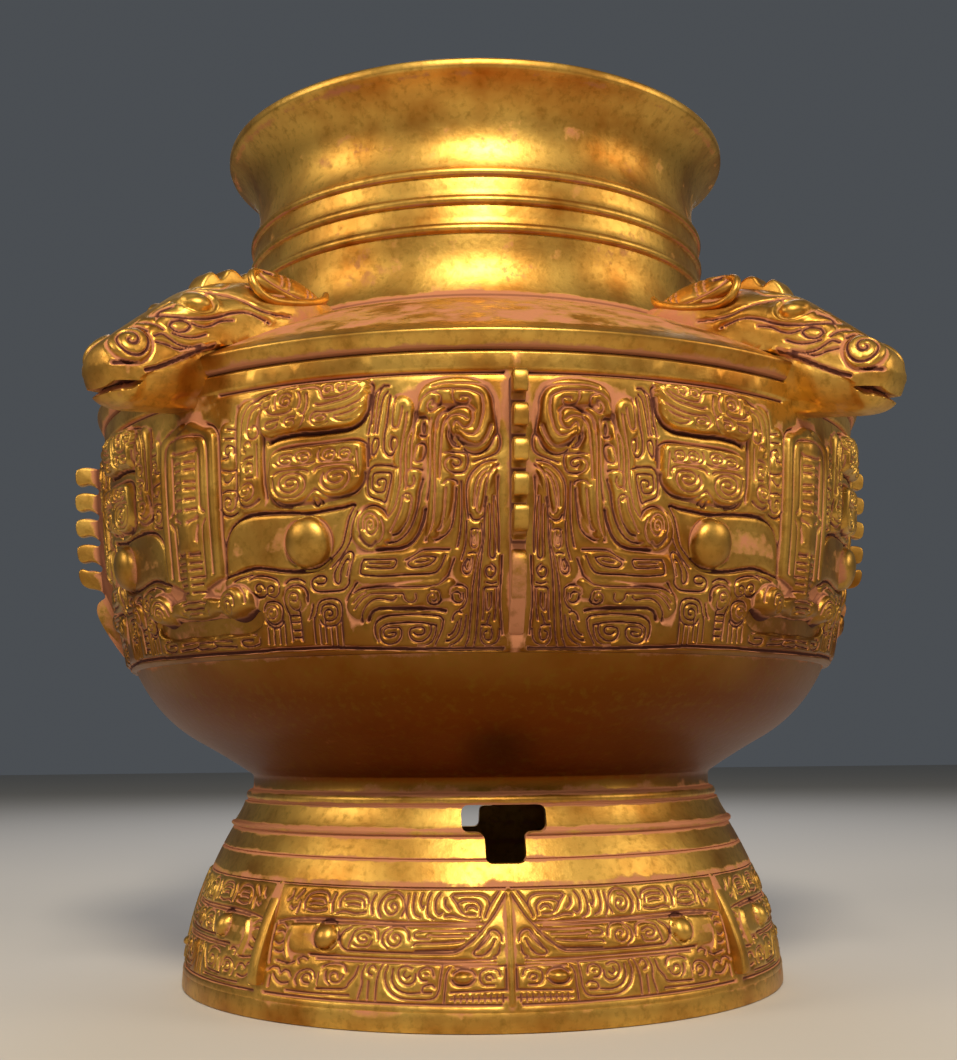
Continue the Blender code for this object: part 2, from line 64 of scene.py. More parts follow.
def smoothLine(points, step=0.5):
    pts = np.array(points, float)
    if len(pts) < 3:
        count = max(1, int(ceil(np.linalg.norm(pts[-1] - pts[0]) / step)))
        t = np.linspace(0, 1, count + 1)[:, None]
        return pts[0] * (1 - t) + pts[-1] * t
    ends = np.vstack([2 * pts[0] - pts[1], pts, 2 * pts[-1] - pts[-2]])
    rows = []
    for k in range(len(pts) - 1):
        a, b, c, d = ends[k:k + 4]
        count = max(1, int(ceil(np.linalg.norm(c - b) / step)))
        t = (np.arange(count) / count)[:, None]
        rows.append(0.5 * (2 * b + (c - a) * t + (2 * a - 5 * b + 4 * c - d) * t ** 2
                           + (3 * b - a - 3 * c + d) * t ** 3))
    return np.vstack(rows + [pts[-1:]])


def lines(text):
    # a text holds strokes parted by bars: "x,y x,y | x,y x,y"
    return [[tuple(float(v) for v in spot.split(",")) for spot in row.split()] for row in text.split("|")]


def arc(start, end, bulge, steps):
    # points after start on an arc that stands off its chord
    a, b = np.array(start, float), np.array(end, float)
    side = np.array((-(b - a)[1], (b - a)[0]))
    return [tuple(a + (b - a) * t + side * bulge * 4 * t * (1 - t)) for t in np.arange(1,
                                                                                       steps + 1) / steps]


def smoothstep(x, low, high):
    t = np.clip((x - low) / (high - low), 0, 1)
    return t * t * (3 - 2 * t)


# meshes and objects

def addObject(name, data):
    obj = bpy.data.objects.new(name, data)
    bpy.context.scene.collection.objects.link(obj)
    return obj


def toMesh(bm, name):
    mesh = bpy.data.meshes.new(name)
    bm.to_mesh(mesh)
    bm.free()
    return mesh


def bakedMesh(obj, name):
    # the shape with its modifiers, as plain mesh
    graph = bpy.context.evaluated_depsgraph_get()
    mesh = bpy.data.meshes.new_from_object(obj.evaluated_get(graph))
    mesh.name = name
    old = obj.data
    bpy.data.objects.remove(obj)
    if old.users == 0 and isinstance(old, bpy.types.Mesh):
        bpy.data.meshes.remove(old)
    return mesh


def thinned(mesh, name, share):
    # fewer triangles where the shape is plain
    obj = addObject(name, mesh)
    thin = obj.modifiers.new("Thin", "DECIMATE")
    thin.ratio = share
    return bakedMesh(obj, name)


def getSpots(mesh):
    spots = np.empty(len(mesh.vertices) * 3, np.float32)
    mesh.vertices.foreach_get("co", spots)
    return spots.reshape(-1, 3).astype(float)


def setSpots(mesh, spots):
    mesh.vertices.foreach_set("co", np.ascontiguousarray(spots, np.float32).ravel())
    mesh.update()


def setLook(mesh, earthAndShade, worn):
    # how much earth, dark as painted shadow where it is deepest, and how much bright wear each vertex has,
    # from 0 to 1
    for name, values in (("earthAndShade", earthAndShade), ("worn", worn)):
        layer = mesh.attributes.new(name, "FLOAT", "POINT")
        values = np.clip(np.broadcast_to(values, len(mesh.vertices)), 0, 1)
        layer.data.foreach_set("value", np.ascontiguousarray(values, np.float32))
    return mesh


def gridMesh(name, nx, ny, half=0.5):
    # a flat grid, with each vertex's column and row
    bm = bmesh.new()
    bmesh.ops.create_grid(bm, x_segments=nx, y_segments=ny, size=half)
    mesh = toMesh(bm, name)
    share = getSpots(mesh) / (2 * half) + 0.5
    return mesh, np.rint(share[:, 0] * nx).astype(int), np.rint(share[:, 1] * ny).astype(int)


def welded(mesh, gap):
    # doubles merged and all faces turned outwards
    bm = bmesh.new()
    bm.from_mesh(mesh)
    bmesh.ops.remove_doubles(bm, verts=bm.verts, dist=gap * mm)
    bmesh.ops.recalc_face_normals(bm, faces=bm.faces)
    bm.to_mesh(mesh)
    bm.free()
    return mesh


def plateMesh(outline, thick, bevel, steps=2):
    # a flat plate with eased edges over an outline in mm
    curve = bpy.data.curves.new("outline", "CURVE")
    curve.dimensions = "2D"
    curve.fill_mode = "BOTH"
    curve.extrude = (thick / 2 - bevel) * mm
    curve.bevel_depth = bevel * mm
    curve.bevel_resolution = steps
    curve.offset = -bevel * mm
    spline = curve.splines.new("POLY")
    spline.points.add(len(outline) - 1)
    for point, (x, y) in zip(spline.points, outline):
        point.co = (x * mm, y * mm, 0, 1)
    spline.use_cyclic_u = True
    mesh = bakedMesh(addObject("outline", curve), "plate")
    bpy.data.curves.remove(curve)
    return mesh


def triangleCount(mesh):
    return sum(len(p.vertices) - 2 for p in mesh.polygons)


def finishPiece(name, mesh, sharp=55):
    # gilt, smooth up to an angle, and part of the jar's one body
    mesh.materials.clear()
    mesh.materials.append(gilt)
    mesh.shade_smooth()
    mesh.set_sharp_from_angle(angle=radians(sharp))
    obj = addObject(name, mesh)
    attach(obj, "root")
    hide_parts(node)
    return obj


def fourPieces(name, mesh, firstAngle=0.0):
    # the same casting on all four sides
    made = []
    for k in range(4):
        copy = mesh if k == 3 else mesh.copy()
        copy.transform(Matrix.Rotation(radians(firstAngle) + k * pi / 2, 4, "Z"))
        copy.name = f"{name}{k + 1}"
        made.append(finishPiece(copy.name, copy))
    print(name, triangleCount(mesh), "triangles each")
    return made


# relief is drawn as heights on a flat sheet, then wrapped round the wall

reliefSize = dict(barBlur=0.9, lineBlur=0.55, wideBlur=1.1, earthDepth=0.3, wearHeight=0.28, deepFrom=1.2,
                  deepSpan=2.0, lineFall=0.7, far=9.0)


def newField(size):
    across = np.linspace(0, size["wide"], int(round(size["wide"] / size["cell"])) + 1)
    up = np.linspace(size["low"], size["top"], int(round((size["top"] - size["low"]) / size["cell"])) + 1)
    shape = (len(up), len(across))
    return dict(across=across, up=up, cell=size["cell"], rise=np.zeros(shape), cut=np.zeros(shape),
                near=np.full(shape, reliefSize["far"]))


def window(field, low, high):
    # the rows and columns of the sheet that a box covers
    a, u, c = field["across"], field["up"], field["cell"]
    c0, c1 = int(floor((low[0] - a[0]) / c)), int(ceil((high[0] - a[0]) / c)) + 1
    r0, r1 = int(floor((low[1] - u[0]) / c)), int(ceil((high[1] - u[0]) / c)) + 1
    return slice(max(r0, 0), max(min(r1, len(u)), 0)), slice(max(c0, 0), max(min(c1, len(a)), 0))


def toSegment(x, y, a, b):
    # distance from a segment, and how far along it the nearest point is
    d = b - a
    t = np.clip(((x - a[0]) * d[0] + (y - a[1]) * d[1]) / max(d @ d, 1e-9), 0, 1)
    return np.hypot(x - a[0] - t * d[0], y - a[1] - t * d[1]), t


def nearSegment(field, a, b, reach):
    rows, cols = window(field, np.minimum(a, b) - reach, np.maximum(a, b) + reach)
    return (rows, cols) + toSegment(field["across"][None, cols], field["up"][rows, None], a, b)


def groove(gap, half):
    # the share of full depth at a distance from a groove's middle
    return np.exp(-(gap / half) ** 4 * reliefSize["lineFall"])


def carve(field, text, half, deep):
    # incised lines with round floors
    reach = max(half * 1.6, 1.5)
    for row in lines(text):
        path = smoothLine(row)
        for a, b in zip(path, path[1:]):
            rows, cols, gap, _ = nearSegment(field, a, b, reach)
            near, cut = field["near"][rows, cols], field["cut"][rows, cols]
            np.minimum(near, np.maximum(gap - half, 0), out=near)
            np.maximum(cut, deep * groove(gap, half), out=cut)


def swell(field, path, widths, high, flat=0.0):
    # a raised bar along a path, round on top
    pts = smoothLine([(*p, w / 2) for p, w in zip(path, widths)], 1.0)
    body = np.zeros_like(field["rise"])
    for a, b in zip(pts, pts[1:]):
        rows, cols, gap, t = nearSegment(field, a[:2], b[:2], max(a[2], b[2]))
        share = np.clip(gap / (a[2] + (b[2] - a[2]) * t), 0, 1)
        share = np.clip((share - flat) / (1 - flat), 0, 1)
        part = body[rows, cols]
        np.maximum(part, high * np.sqrt(np.clip(1 - share ** 2, 0, 1)) ** 1.2, out=part)
    np.maximum(field["rise"], body, out=field["rise"])


def mound(field, centre, radii, high, power=1.0):
    # a round or oval boss
    rows, cols = window(field, np.array(centre) - radii, np.array(centre) + radii)
    x = (field["across"][None, cols] - centre[0]) / radii[0]
    y = (field["up"][rows, None] - centre[1]) / radii[1]
    part = field["rise"][rows, cols]
    np.maximum(part, high * np.clip(1 - x ** 2 - y ** 2, 0, 1) ** (0.5 * power), out=part)


def plateau(field, corners, high, soft):
    # a flat-topped raised shape with a rounded edge soft mm wide
    pts = smoothLine(list(corners) + [corners[0]], 1.5)
    rows, cols = window(field, pts.min(0) - 1, pts.max(0) + 1)
    x, y = np.meshgrid(field["across"][cols], field["up"][rows])
    inside = np.zeros(x.shape, bool)
    gap = np.full(x.shape, 99.0)
    for a, b in zip(pts, pts[1:]):
        crossed = (a[1] > y) != (b[1] > y)
        with np.errstate(divide="ignore", invalid="ignore"):
            inside ^= crossed & (x < (b[0] - a[0]) * (y - a[1]) / (b[1] - a[1]) + a[0])
        gap = np.minimum(gap, toSegment(x, y, a, b)[0])
    share = np.where(inside, np.clip(gap / soft, 0, 1), 0)
    part = field["rise"][rows, cols]
    np.maximum(part, high * np.sqrt(1 - (1 - share) ** 2), out=part)


def blur(grid, cells):
    reach = int(3 * cells)
    k = np.exp(-0.5 * (np.arange(-reach, reach + 1) / cells) ** 2)
    k /= k.sum()
    padded = np.pad(grid, reach, mode="edge")
    padded = np.apply_along_axis(lambda row: np.convolve(row, k, "valid"), 1, padded)
    return np.apply_along_axis(lambda row: np.convolve(row, k, "valid"), 0, padded)


def settleField(field, size):
    # joins bars and grooves, eases the edges, and finds recesses and worn tops; recesses get earth, and the
    # deepest cuts get painted shadow
    r = reliefSize
    eased = size["round"] * np.exp(-field["near"] / size["fade"])
    field["high"] = blur(blur(field["rise"], r["barBlur"]) - eased - field["cut"], r["lineBlur"])
    proud = field["high"] - blur(field["high"], r["wideBlur"] / field["cell"])
    field["earthAndShade"] = (size["ground"] + np.clip(-proud / r["earthDepth"], 0, 1) * 0.55
                      + np.clip(field["cut"], 0, 1) * 0.25
                      + np.clip((field["cut"] - r["deepFrom"]) / r["deepSpan"], 0, 1) * 0.5)
    field["worn"] = np.clip(proud / r["wearHeight"], 0, 1)


def eyeball(field, eye, facing=True):
    # a polished half ball in a sunk ring
    x, y = field["across"][None, :], field["up"][:, None]
    gap = np.hypot(x - eye["at"][0], y - eye["at"][1])
    dome = eye["high"] * np.sqrt(np.clip(1 - (gap / eye["radius"]) ** 2, 0, 1)) ** 0.9
    ring = eye["ringDeep"] * np.exp(-((gap - eye["ring"]) / eye["ringHalf"]) ** 2) * facing
    field["high"] = np.where(gap < eye["edge"], dome, field["high"]) - ring
    field["earthAndShade"] = np.where(gap < eye["clean"], 0.05, np.clip(field["earthAndShade"] + ring, 0, 1))
    field["worn"] = np.where(gap < eye["worn"], 0.5, field["worn"])


def lookUp(field, grid, x, y):
    fx = np.clip((x - field["across"][0]) / field["cell"], 0, len(field["across"]) - 1.001)
    fy = np.clip((y - field["up"][0]) / field["cell"], 0, len(field["up"]) - 1.001)
    cx, cy = fx.astype(int), fy.astype(int)
    tx, ty = fx - cx, fy - cy
    return ((grid[cy, cx] * (1 - tx) + grid[cy, cx + 1] * tx) * (1 - ty)
            + (grid[cy + 1, cx] * (1 - tx) + grid[cy + 1, cx + 1] * tx) * ty)


def frontPlace(angle, radius, z):
    # angle in degrees from the front flange towards +X
    a = np.radians(angle)
    return np.stack([radius * np.sin(a), -radius * np.cos(a), z], -1) * mm


def halfPanel(name, field, size, radiusAt):
    # a flat grid raised to the heights, wrapped round an eighth of the wall and thinned where it is plain
    nx, ny = len(field["across"]) - 1, len(field["up"]) - 1
    mesh, col, row = gridMesh(name, nx, ny)
    z = size["seat"] + field["up"][row]
    setSpots(mesh, frontPlace(field["across"][col] / size["wide"] * 45,
                              radiusAt(z) + field["high"][row, col], z))
    mesh = thinned(mesh, name, size["triangles"] / (2 * nx * ny))
    # its last column goes exactly on the panel's middle line
    spots = getSpots(mesh) / mm
    across = np.degrees(np.arctan2(spots[:, 0], -spots[:, 1])) / 45 * size["wide"]
    across = np.where(np.abs(across - size["wide"]) < 0.08, size["wide"], across)
    up = spots[:, 2] - size["seat"]
    setSpots(mesh, frontPlace(across / size["wide"] * 45, np.hypot(spots[:, 0], spots[:, 1]), spots[:, 2]))
    return setLook(mesh, lookUp(field, field["earthAndShade"], across, up),
                   lookUp(field, field["worn"], across, up))


def panelMesh(name, field, size, radiusAt):
    # both halves of a panel, with edges that turn down into the wall
    half = halfPanel(name, field, size, radiusAt)
    bm = bmesh.new()
    bm.from_mesh(half)
    bpy.data.meshes.remove(half)
    bmesh.ops.mirror(bm, geom=bm.verts[:] + bm.edges[:] + bm.faces[:],
                     matrix=Matrix.Rotation(-pi / 4, 4, "Z"), merge_dist=-1, axis="X")
    bmesh.ops.remove_doubles(bm, verts=bm.verts, dist=0.01 * mm)
    bmesh.ops.triangulate(bm, faces=[f for f in bm.faces if len(f.verts) > 3])
    rim = [e for e in bm.edges if len(e.link_faces) == 1]
    skirt = bmesh.ops.extrude_edge_only(bm, edges=rim)
    for v in skirt["geom"]:
        if isinstance(v, bmesh.types.BMVert):
            v.co -= Vector((v.co.x, v.co.y, 0)).normalized() * size["skirt"] * mm
    bmesh.ops.recalc_face_normals(bm, faces=bm.faces)
    if sum(f.normal.dot(f.calc_center_median() * Vector((1, 1, 0))) * f.calc_area() for f in bm.faces) < 0:
        bmesh.ops.reverse_faces(bm, faces=bm.faces)
    return toMesh(bm, name)


# camera, floor and light

def hexColour(code):
    # sRGB hex to the linear values that the sockets take
    parts = [int(code[k:k + 2], 16) / 255 for k in (1, 3, 5)]
    return tuple(c / 12.92 if c <= 0.04045 else ((c + 0.055) / 1.055) ** 2.4 for c in parts) + (1.0,)


def addNode(material, kind, settings=None, links=None):
    # one node with its settings; links name an input and where it comes from
    tree = material.node_tree
    made = tree.nodes.new(kind)
    for key, value in (settings or {}).items():
        if isinstance(key, str) and hasattr(made, key):
            setattr(made, key, value)
        else:
            made.inputs[key].default_value = value
    for key, source in (links or {}).items():
        tree.links.new(source, made.inputs[key])
    return made


cameraView = dict(place=(-0.0490, -0.6088, 0.0987), pitch=98.68, turn=-4.6, roll=-0.53, lens=46.67,
                  sensor=36)

stageLook = dict(
    floor="#C9C4BB", floorRough=0.85, floorHalf=4, world="#7F858C", worldPower=0.33, aim=(0, 0, 0.19),
    lamps=dict(key=dict(place=(-0.02, -1.1, 1.05), size=0.31, power=17.2, colour="#FFF4E2"),
               left=dict(place=(-1.3, -0.5, 0.85), size=0.5, power=6.2, colour="#FFF1DC"),
               right=dict(place=(1.3, -0.55, 0.8), size=0.5, power=5.4, colour="#FFEFD8"),
               back=dict(place=(0.1, 1.1, 1.2), size=1.0, power=8, colour="#EAF0FF")))


def setCamera():
    look = cameraView
    lens = bpy.data.cameras.new("photoCamera")
    lens.sensor_fit = "VERTICAL"
    lens.sensor_height = look["sensor"]
    lens.lens = look["lens"]
    lens.clip_start = 0.01
    camera = addObject("photoCamera", lens)
    aim = Euler((radians(look["pitch"]), 0, radians(look["turn"]))).to_matrix()
    camera.location = look["place"]
    camera.rotation_euler = (aim @ Matrix.Rotation(radians(look["roll"]), 3, "Z")).to_euler()
    bpy.context.scene.camera = camera
    bpy.context.scene.view_settings.view_transform = "Standard"


def setStudio():
    look = stageLook
    floorMesh = gridMesh("floor", 1, 1, look["floorHalf"])[0]
    floorPaint = bpy.data.materials.new("matt floor paint")
    floorPaint.use_nodes = True
    shader = floorPaint.node_tree.nodes["Principled BSDF"]
    shader.inputs["Base Color"].default_value = hexColour(look["floor"])
    shader.inputs["Roughness"].default_value = look["floorRough"]
    floorMesh.materials.append(floorPaint)
    addObject("floor", floorMesh)
    world = bpy.data.worlds.new("studio")
    world.use_nodes = True
    world.node_tree.nodes["Background"].inputs["Color"].default_value = hexColour(look["world"])
    world.node_tree.nodes["Background"].inputs["Strength"].default_value = look["worldPower"]
    bpy.context.scene.world = world
    for name, lamp in look["lamps"].items():
        light = bpy.data.lights.new(name, "AREA")
        light.energy = lamp["power"]
        light.size = lamp["size"]
        light.color = hexColour(lamp["colour"])[:3]
        obj = addObject(name, light)
        obj.location = lamp["place"]
        obj.rotation_euler = (Vector(look["aim"]) - obj.location).to_track_quat("-Z", "Y").to_euler()


setCamera()
setStudio()
print("camera and studio set")


# gilt bronze: cast, fire-gilt and worn, so the tops shine and reddish earth stays in the recesses; painted
# shade darkens the deepest recesses and the lower belly

# the lower belly's painted shade colour and the dark of the deepest recesses, dark earth with painted
# shadow, are set here too
giltLook = dict(gold="#DDB056", deepGold="#A86E28", olive="#7A5A18", under="#6E3A0C", residue="#BA7850",
                dark="#4A1805", goldRough=0.37, residueRough=0.80, cloudScale=33.0, mottleScale=330.0,
                driftScale=70.0, underHigh=0.190, underLow=0.114, footTop=0.076, bellyLow=0.084,
                oliveShare=0.55, driftPower=1.5, driftLevel=-0.62, earthFrom=0.36, earthFull=0.62,
                darkFrom=0.75, pitDepth=0.0004, pitPower=0.25)


def giltBronze():
    g = giltLook
    material = bpy.data.materials.new("gilt bronze")
    material.use_nodes = True
    shader = material.node_tree.nodes["Principled BSDF"]
    links = material.node_tree.links
    spot = addNode(material, "ShaderNodeTexCoord").outputs["Object"]
    earthAndShade = addNode(material, "ShaderNodeAttribute", {"attribute_name": "earthAndShade"}).outputs["Fac"]
    worn = addNode(material, "ShaderNodeAttribute", {"attribute_name": "worn"}).outputs["Fac"]
    # cloudy tone of the gilding in patches about 30 mm across: 33 to the metre
    cloud = addNode(material, "ShaderNodeTexNoise", {"Scale": g["cloudScale"], "Detail": 4.0,
                                                     "Roughness": 0.55},
                    {"Vector": spot}).outputs["Fac"]
    cloudSpan = addNode(material, "ShaderNodeMapRange", {1: 0.38, 2: 0.68}, {0: cloud}).outputs[0]
    tone = addNode(material, "ShaderNodeMix", {"data_type": "RGBA", 6: hexColour(g["gold"]),
                   7: hexColour(g["deepGold"])}, {0: cloudSpan}).outputs[2]
    # painted shade: the belly is painted browner and darker from the middle of the frieze down to the foot
    height = addNode(material, "ShaderNodeSeparateXYZ", {}, {"Vector": spot}).outputs["Z"]
    below = addNode(material, "ShaderNodeMapRange", {1: g["underHigh"], 2: g["underLow"]},
                    {0: height}).outputs[0]
    aboveFoot = addNode(material, "ShaderNodeMapRange", {1: g["footTop"], 2: g["bellyLow"]},
                        {0: height}).outputs[0]
    underShadeShare = addNode(material, "ShaderNodeMath", {"operation": "MULTIPLY"},
                    {0: below, 1: aboveFoot}).outputs[0]
    shaded = addNode(material, "ShaderNodeMix", {"data_type": "RGBA", 7: hexColour(g["under"])},
                     {0: underShadeShare, 6: tone}).outputs[2]
    # fine mottling about 3 mm across: 330 to the metre
    fine = addNode(material, "ShaderNodeTexNoise", {"Scale": g["mottleScale"], "Detail": 5.0,
                                                    "Roughness": 0.6},
                   {"Vector": spot}).outputs["Fac"]
    fineSpan = addNode(material, "ShaderNodeMapRange", {1: 0.5, 2: 0.75}, {0: fine}).outputs[0]
    olive = addNode(material, "ShaderNodeMath", {"operation": "MULTIPLY", 1: g["oliveShare"]},
                    {0: fineSpan}).outputs[0]
    toned = addNode(material, "ShaderNodeMix", {"data_type": "RGBA", 7: hexColour(g["olive"])},
                    {0: olive, 6: shaded}).outputs[2]
    # earth: recesses first, then thin drifts about 14 mm across over the plain walls, 70 to the metre
    drift = addNode(material, "ShaderNodeTexNoise", {"Scale": g["driftScale"], "Detail": 7.0,
                                                     "Roughness": 0.68},
                    {"Vector": spot}).outputs["Fac"]
    ragged = addNode(material, "ShaderNodeMath", {"operation": "MULTIPLY_ADD", 1: g["driftPower"],
                     2: g["driftLevel"]}, {0: drift}).outputs[0]
    raw = addNode(material, "ShaderNodeMath", {"operation": "ADD"}, {0: earthAndShade, 1: ragged}).outputs[0]
    unworn = addNode(material, "ShaderNodeMath", {"operation": "SUBTRACT"}, {0: raw, 1: worn}).outputs[0]
    earthAndShadeShare = addNode(material, "ShaderNodeMapRange", {1: g["earthFrom"], 2: g["earthFull"]},
                    {0: unworn}).outputs[0]
    # painted shadow with dark earth: where the earth value passes darkFrom, in deep cuts, the open mouths,
    # the upper flange gaps and under the strings and the keel, the earth turns dark brown
    deep = addNode(material, "ShaderNodeMapRange", {1: g["darkFrom"], 2: 1.0}, {0: earthAndShade}).outputs[0]
    earthAndShadowTone = addNode(material, "ShaderNodeMix", {"data_type": "RGBA", 6: hexColour(g["residue"]),
                        7: hexColour(g["dark"])}, {0: deep}).outputs[2]
    colour = addNode(material, "ShaderNodeMix", {"data_type": "RGBA"},
                     {0: earthAndShadeShare, 6: toned, 7: earthAndShadowTone}).outputs[2]
    metal = addNode(material, "ShaderNodeMath", {"operation": "SUBTRACT", 0: 1.0}, {1: earthAndShadeShare}).outputs[0]
    rough = addNode(material, "ShaderNodeMapRange", {3: g["goldRough"], 4: g["residueRough"]},
                    {0: earthAndShadeShare}).outputs[0]
    roughMix = addNode(material, "ShaderNodeMath", {"operation": "MULTIPLY_ADD", 1: 0.12},
                       {0: fine, 2: rough}).outputs[0]
    # cast skin: pits and ripples under half a millimetre
    bump = addNode(material, "ShaderNodeBump", {"Strength": g["pitPower"], "Distance": g["pitDepth"]},
                   {"Height": fine}).outputs[0]
    links.new(colour, shader.inputs["Base Color"])
    links.new(metal, shader.inputs["Metallic"])
    links.new(roughMix, shader.inputs["Roughness"])
    links.new(bump, shader.inputs["Normal"])
    return material


gilt = giltBronze()
print("materials set")


# vessel: one turned wall, lip to foot

vesselSize = dict(turns=208, frontGap=2.0, footGap=1.4, sharp=40, strings=3, stringLow=293.6,
                  stringPitch=11.5)
bellyCurve = np.array([(151.0, 126.0)] + arc((162.4, 221.3), (151.5, 129.0), 0.030, 24)[::-1]
                      + [(162.4, 221.3), (163.1, 229.5)])
footCurve = np.array([(126.0, 0.0)] + arc((105.8, 64.5), (125.3, 9.3), 0.049, 24)[::-1] + [(105.8, 64.5)])


def bellyRadius(z):
    return np.interp(z, bellyCurve[:, 1], bellyCurve[:, 0])


def footRadius(z):
    return np.interp(z, footCurve[:, 1], footCurve[:, 0])


def belowRelief(radiusAt, heights, gap):
    # the wall lies a little under its panels
    return [(float(radiusAt(z)) - gap, float(z)) for z in heights]


def vesselProfile():
    # radius and height: up the inside, over the lip, down the outside and up into the foot
    s = vesselSize
    inside = [(88, 84), (94, 85), (105, 91.5), (116.4, 100.8), (128, 109), (136.4, 117.8), (146, 134),
              (152, 153), (155.8, 175.6), (158, 200), (159.4, 220), (158.5, 227), (152, 233), (130, 246),
              (110, 257.5), (102.6, 263), (100.6, 268), (98.4, 285), (97, 300), (95.8, 318), (95, 331),
              (96, 341), (98.6, 349), (103, 355), (107.6, 358.6)]
    rows = [(0, 84)] + [tuple(p) for p in smoothLine(inside, 9.0)]
    rows += [(108.8, 359.5), (110.2, 360), (112.0, 360), (112.7, 359.6), (113, 358.9), (113, 356.9),
             (112.7, 356.2)]
    rows += [(112.2, 355.7)] + arc((112.2, 355.7), (99.0, 331.0), -0.13, 14)
    rows += [(99.5, 326), (100.6, 321.6), (101.2, 320.3)]
    for k in reversed(range(s["strings"])):
        z = s["stringLow"] + s["stringPitch"] * k
        rows += [(101.2, z + 3.9), (101.5, z + 3.4), (102.3, z + 2.9), (102.75, z + 2.2), (102.8, z + 1.3),
                 (102.6, z + 0.55), (102.1, z + 0.1), (101.3, z - 0.15), (101.0, z - 0.4)]
        if k:
            rows += [(101.1, z - 2), (101.2, z - 5)]
    # neck's base, shoulder and keel
    rows += arc((101.2, 292.6), (104.2, 267.4), -0.09, 10) + [(104.5, 266.7), (105.6, 266.3)]
    rows += arc((105.6, 266.3), (166.2, 235.4), 0.02, 8)
    rows += [(166.5, 235.0), (166.5, 234.4), (166.2, 233.4), (165.4, 231.8), (164.5, 230.2), (163.6, 229.3),
             (162.6, 228.9), (160.8, 228.7)]
    rows += belowRelief(bellyRadius, np.linspace(226, 130, 6), s["frontGap"])
    # bowl under the frieze, stem and the two steps of the foot
    rows += [(149.3, 128.6), (147.5, 128.0)] + arc((147.5, 128.0), (119, 97.8), 0.085, 18)
    rows += arc((119, 97.8), (98.8, 85.4), -0.01, 5) + [(98.2, 84.6), (98.0, 83.5), (98.0, 80.2),
                                                        (98.3, 79.4)]
    rows += [(99.4, 78.9), (100.4, 78.2), (100.9, 77.2), (100.9, 76.2), (100.4, 75.3), (100.5, 74.9),
             (101.6, 74.6)]
    rows += arc((101.6, 74.6), (105.4, 67.2), -0.03, 8)
    rows += [(105.7, 66.9), (106.5, 66.7), (107.0, 66.2), (107.0, 65.3), (106.6, 64.8), (105.9, 64.6)]
    rows += belowRelief(footRadius, np.linspace(64, 57.3, 8), 0) + belowRelief(footRadius, [56.9], 0)
    rows += belowRelief(footRadius, [56.5], 0.7) + belowRelief(footRadius, [56.1], 0)
    rows += belowRelief(footRadius, np.linspace(55.6, 47.6, 9), 0)
    rows += belowRelief(footRadius, np.linspace(47.0, 9.0, 6), s["footGap"])
    # the plain rim that the jar stands on, and the hollow inside it
    rows += [(124.6, 8.4), (125.3, 8.2), (125.7, 7.6), (125.9, 4.0), (126.0, 1.0), (125.7, 0.3),
             (125.0, 0.0)]
    rows += [(122.8, 0.0), (122.2, 0.3), (122.0, 1.0)]
    rows += [tuple(p) for p in smoothLine([(121.4, 8.5), (114.5, 36.5), (102.2, 62.8), (96, 75),
                                           (93, 79.4)], 4.0)]
    return rows + [(91.5, 80), (0, 80)]


def turnedWall():
    bm = bmesh.new()
    rows = [bm.verts.new((0, -r * mm, z * mm)) for r, z in vesselProfile()]
    edges = [bm.edges.new(pair) for pair in zip(rows, rows[1:])]
    bmesh.ops.spin(bm, geom=rows + edges, cent=(0, 0, 0), axis=(0, 0, 1), angle=2 * pi,
                   steps=vesselSize["turns"], use_merge=True)
    bmesh.ops.remove_doubles(bm, verts=bm.verts, dist=0.02 * mm)
    bmesh.ops.recalc_face_normals(bm, faces=bm.faces)
    return toMesh(bm, "vessel")


holeSize = dict(wide=31.0, tall=20.2, top=75.2, arm=9.5, stem=14.7, corner=3.0, length=50.0, reach=109.0)


def holeCutters():
    # T-shaped cutters, one under each flange
    s = holeSize
    arm, stem, top = s["wide"] / 2, s["stem"] / 2, s["top"]
    low, foot = top - s["arm"], top - s["tall"]
    corners = [(-arm, top), (-arm, low), (-stem, low), (-stem, foot), (stem, foot), (stem, low), (arm, low),
               (arm, top)]
    outline = []
    for k, corner in enumerate(corners):
        here = Vector(corner)
        before = (Vector(corners[k - 1]) - here).normalized() * s["corner"]
        after = (Vector(corners[(k + 1) % 8]) - here).normalized() * s["corner"]
        outline += [tuple(here + before * (1 - t) ** 2 + after * t ** 2) for t in (0, 0.2, 0.4, 0.6, 0.8,
                                                                                   1)]
    mesh = plateMesh(outline, s["length"], 0)
    mesh.transform(Matrix.Translation((0, -s["reach"] * mm, 0)) @ Matrix.Rotation(pi / 2, 4, "X"))
    welded(mesh, 0.01)
    holes = bpy.data.collections.new("holes")
    bpy.context.scene.collection.children.link(holes)
    for k in range(4):
        copy = bpy.data.objects.new(f"hole{k}", mesh.copy())
        copy.data.transform(Matrix.Rotation(k * pi / 2, 4, "Z"))
        holes.objects.link(copy)
    return holes


def piercedWall():
    wall = addObject("vesselBlank", turnedWall())
    holes = holeCutters()
    cut = wall.modifiers.new("Holes", "BOOLEAN")
    cut.operation = "DIFFERENCE"
    cut.operand_type = "COLLECTION"
    cut.collection = holes
    cut.solver = "EXACT"
    mesh = bakedMesh(wall, "vessel")
    for cutter in list(holes.objects):
        bpy.data.objects.remove(cutter)
    bpy.data.collections.remove(holes)
    return mesh


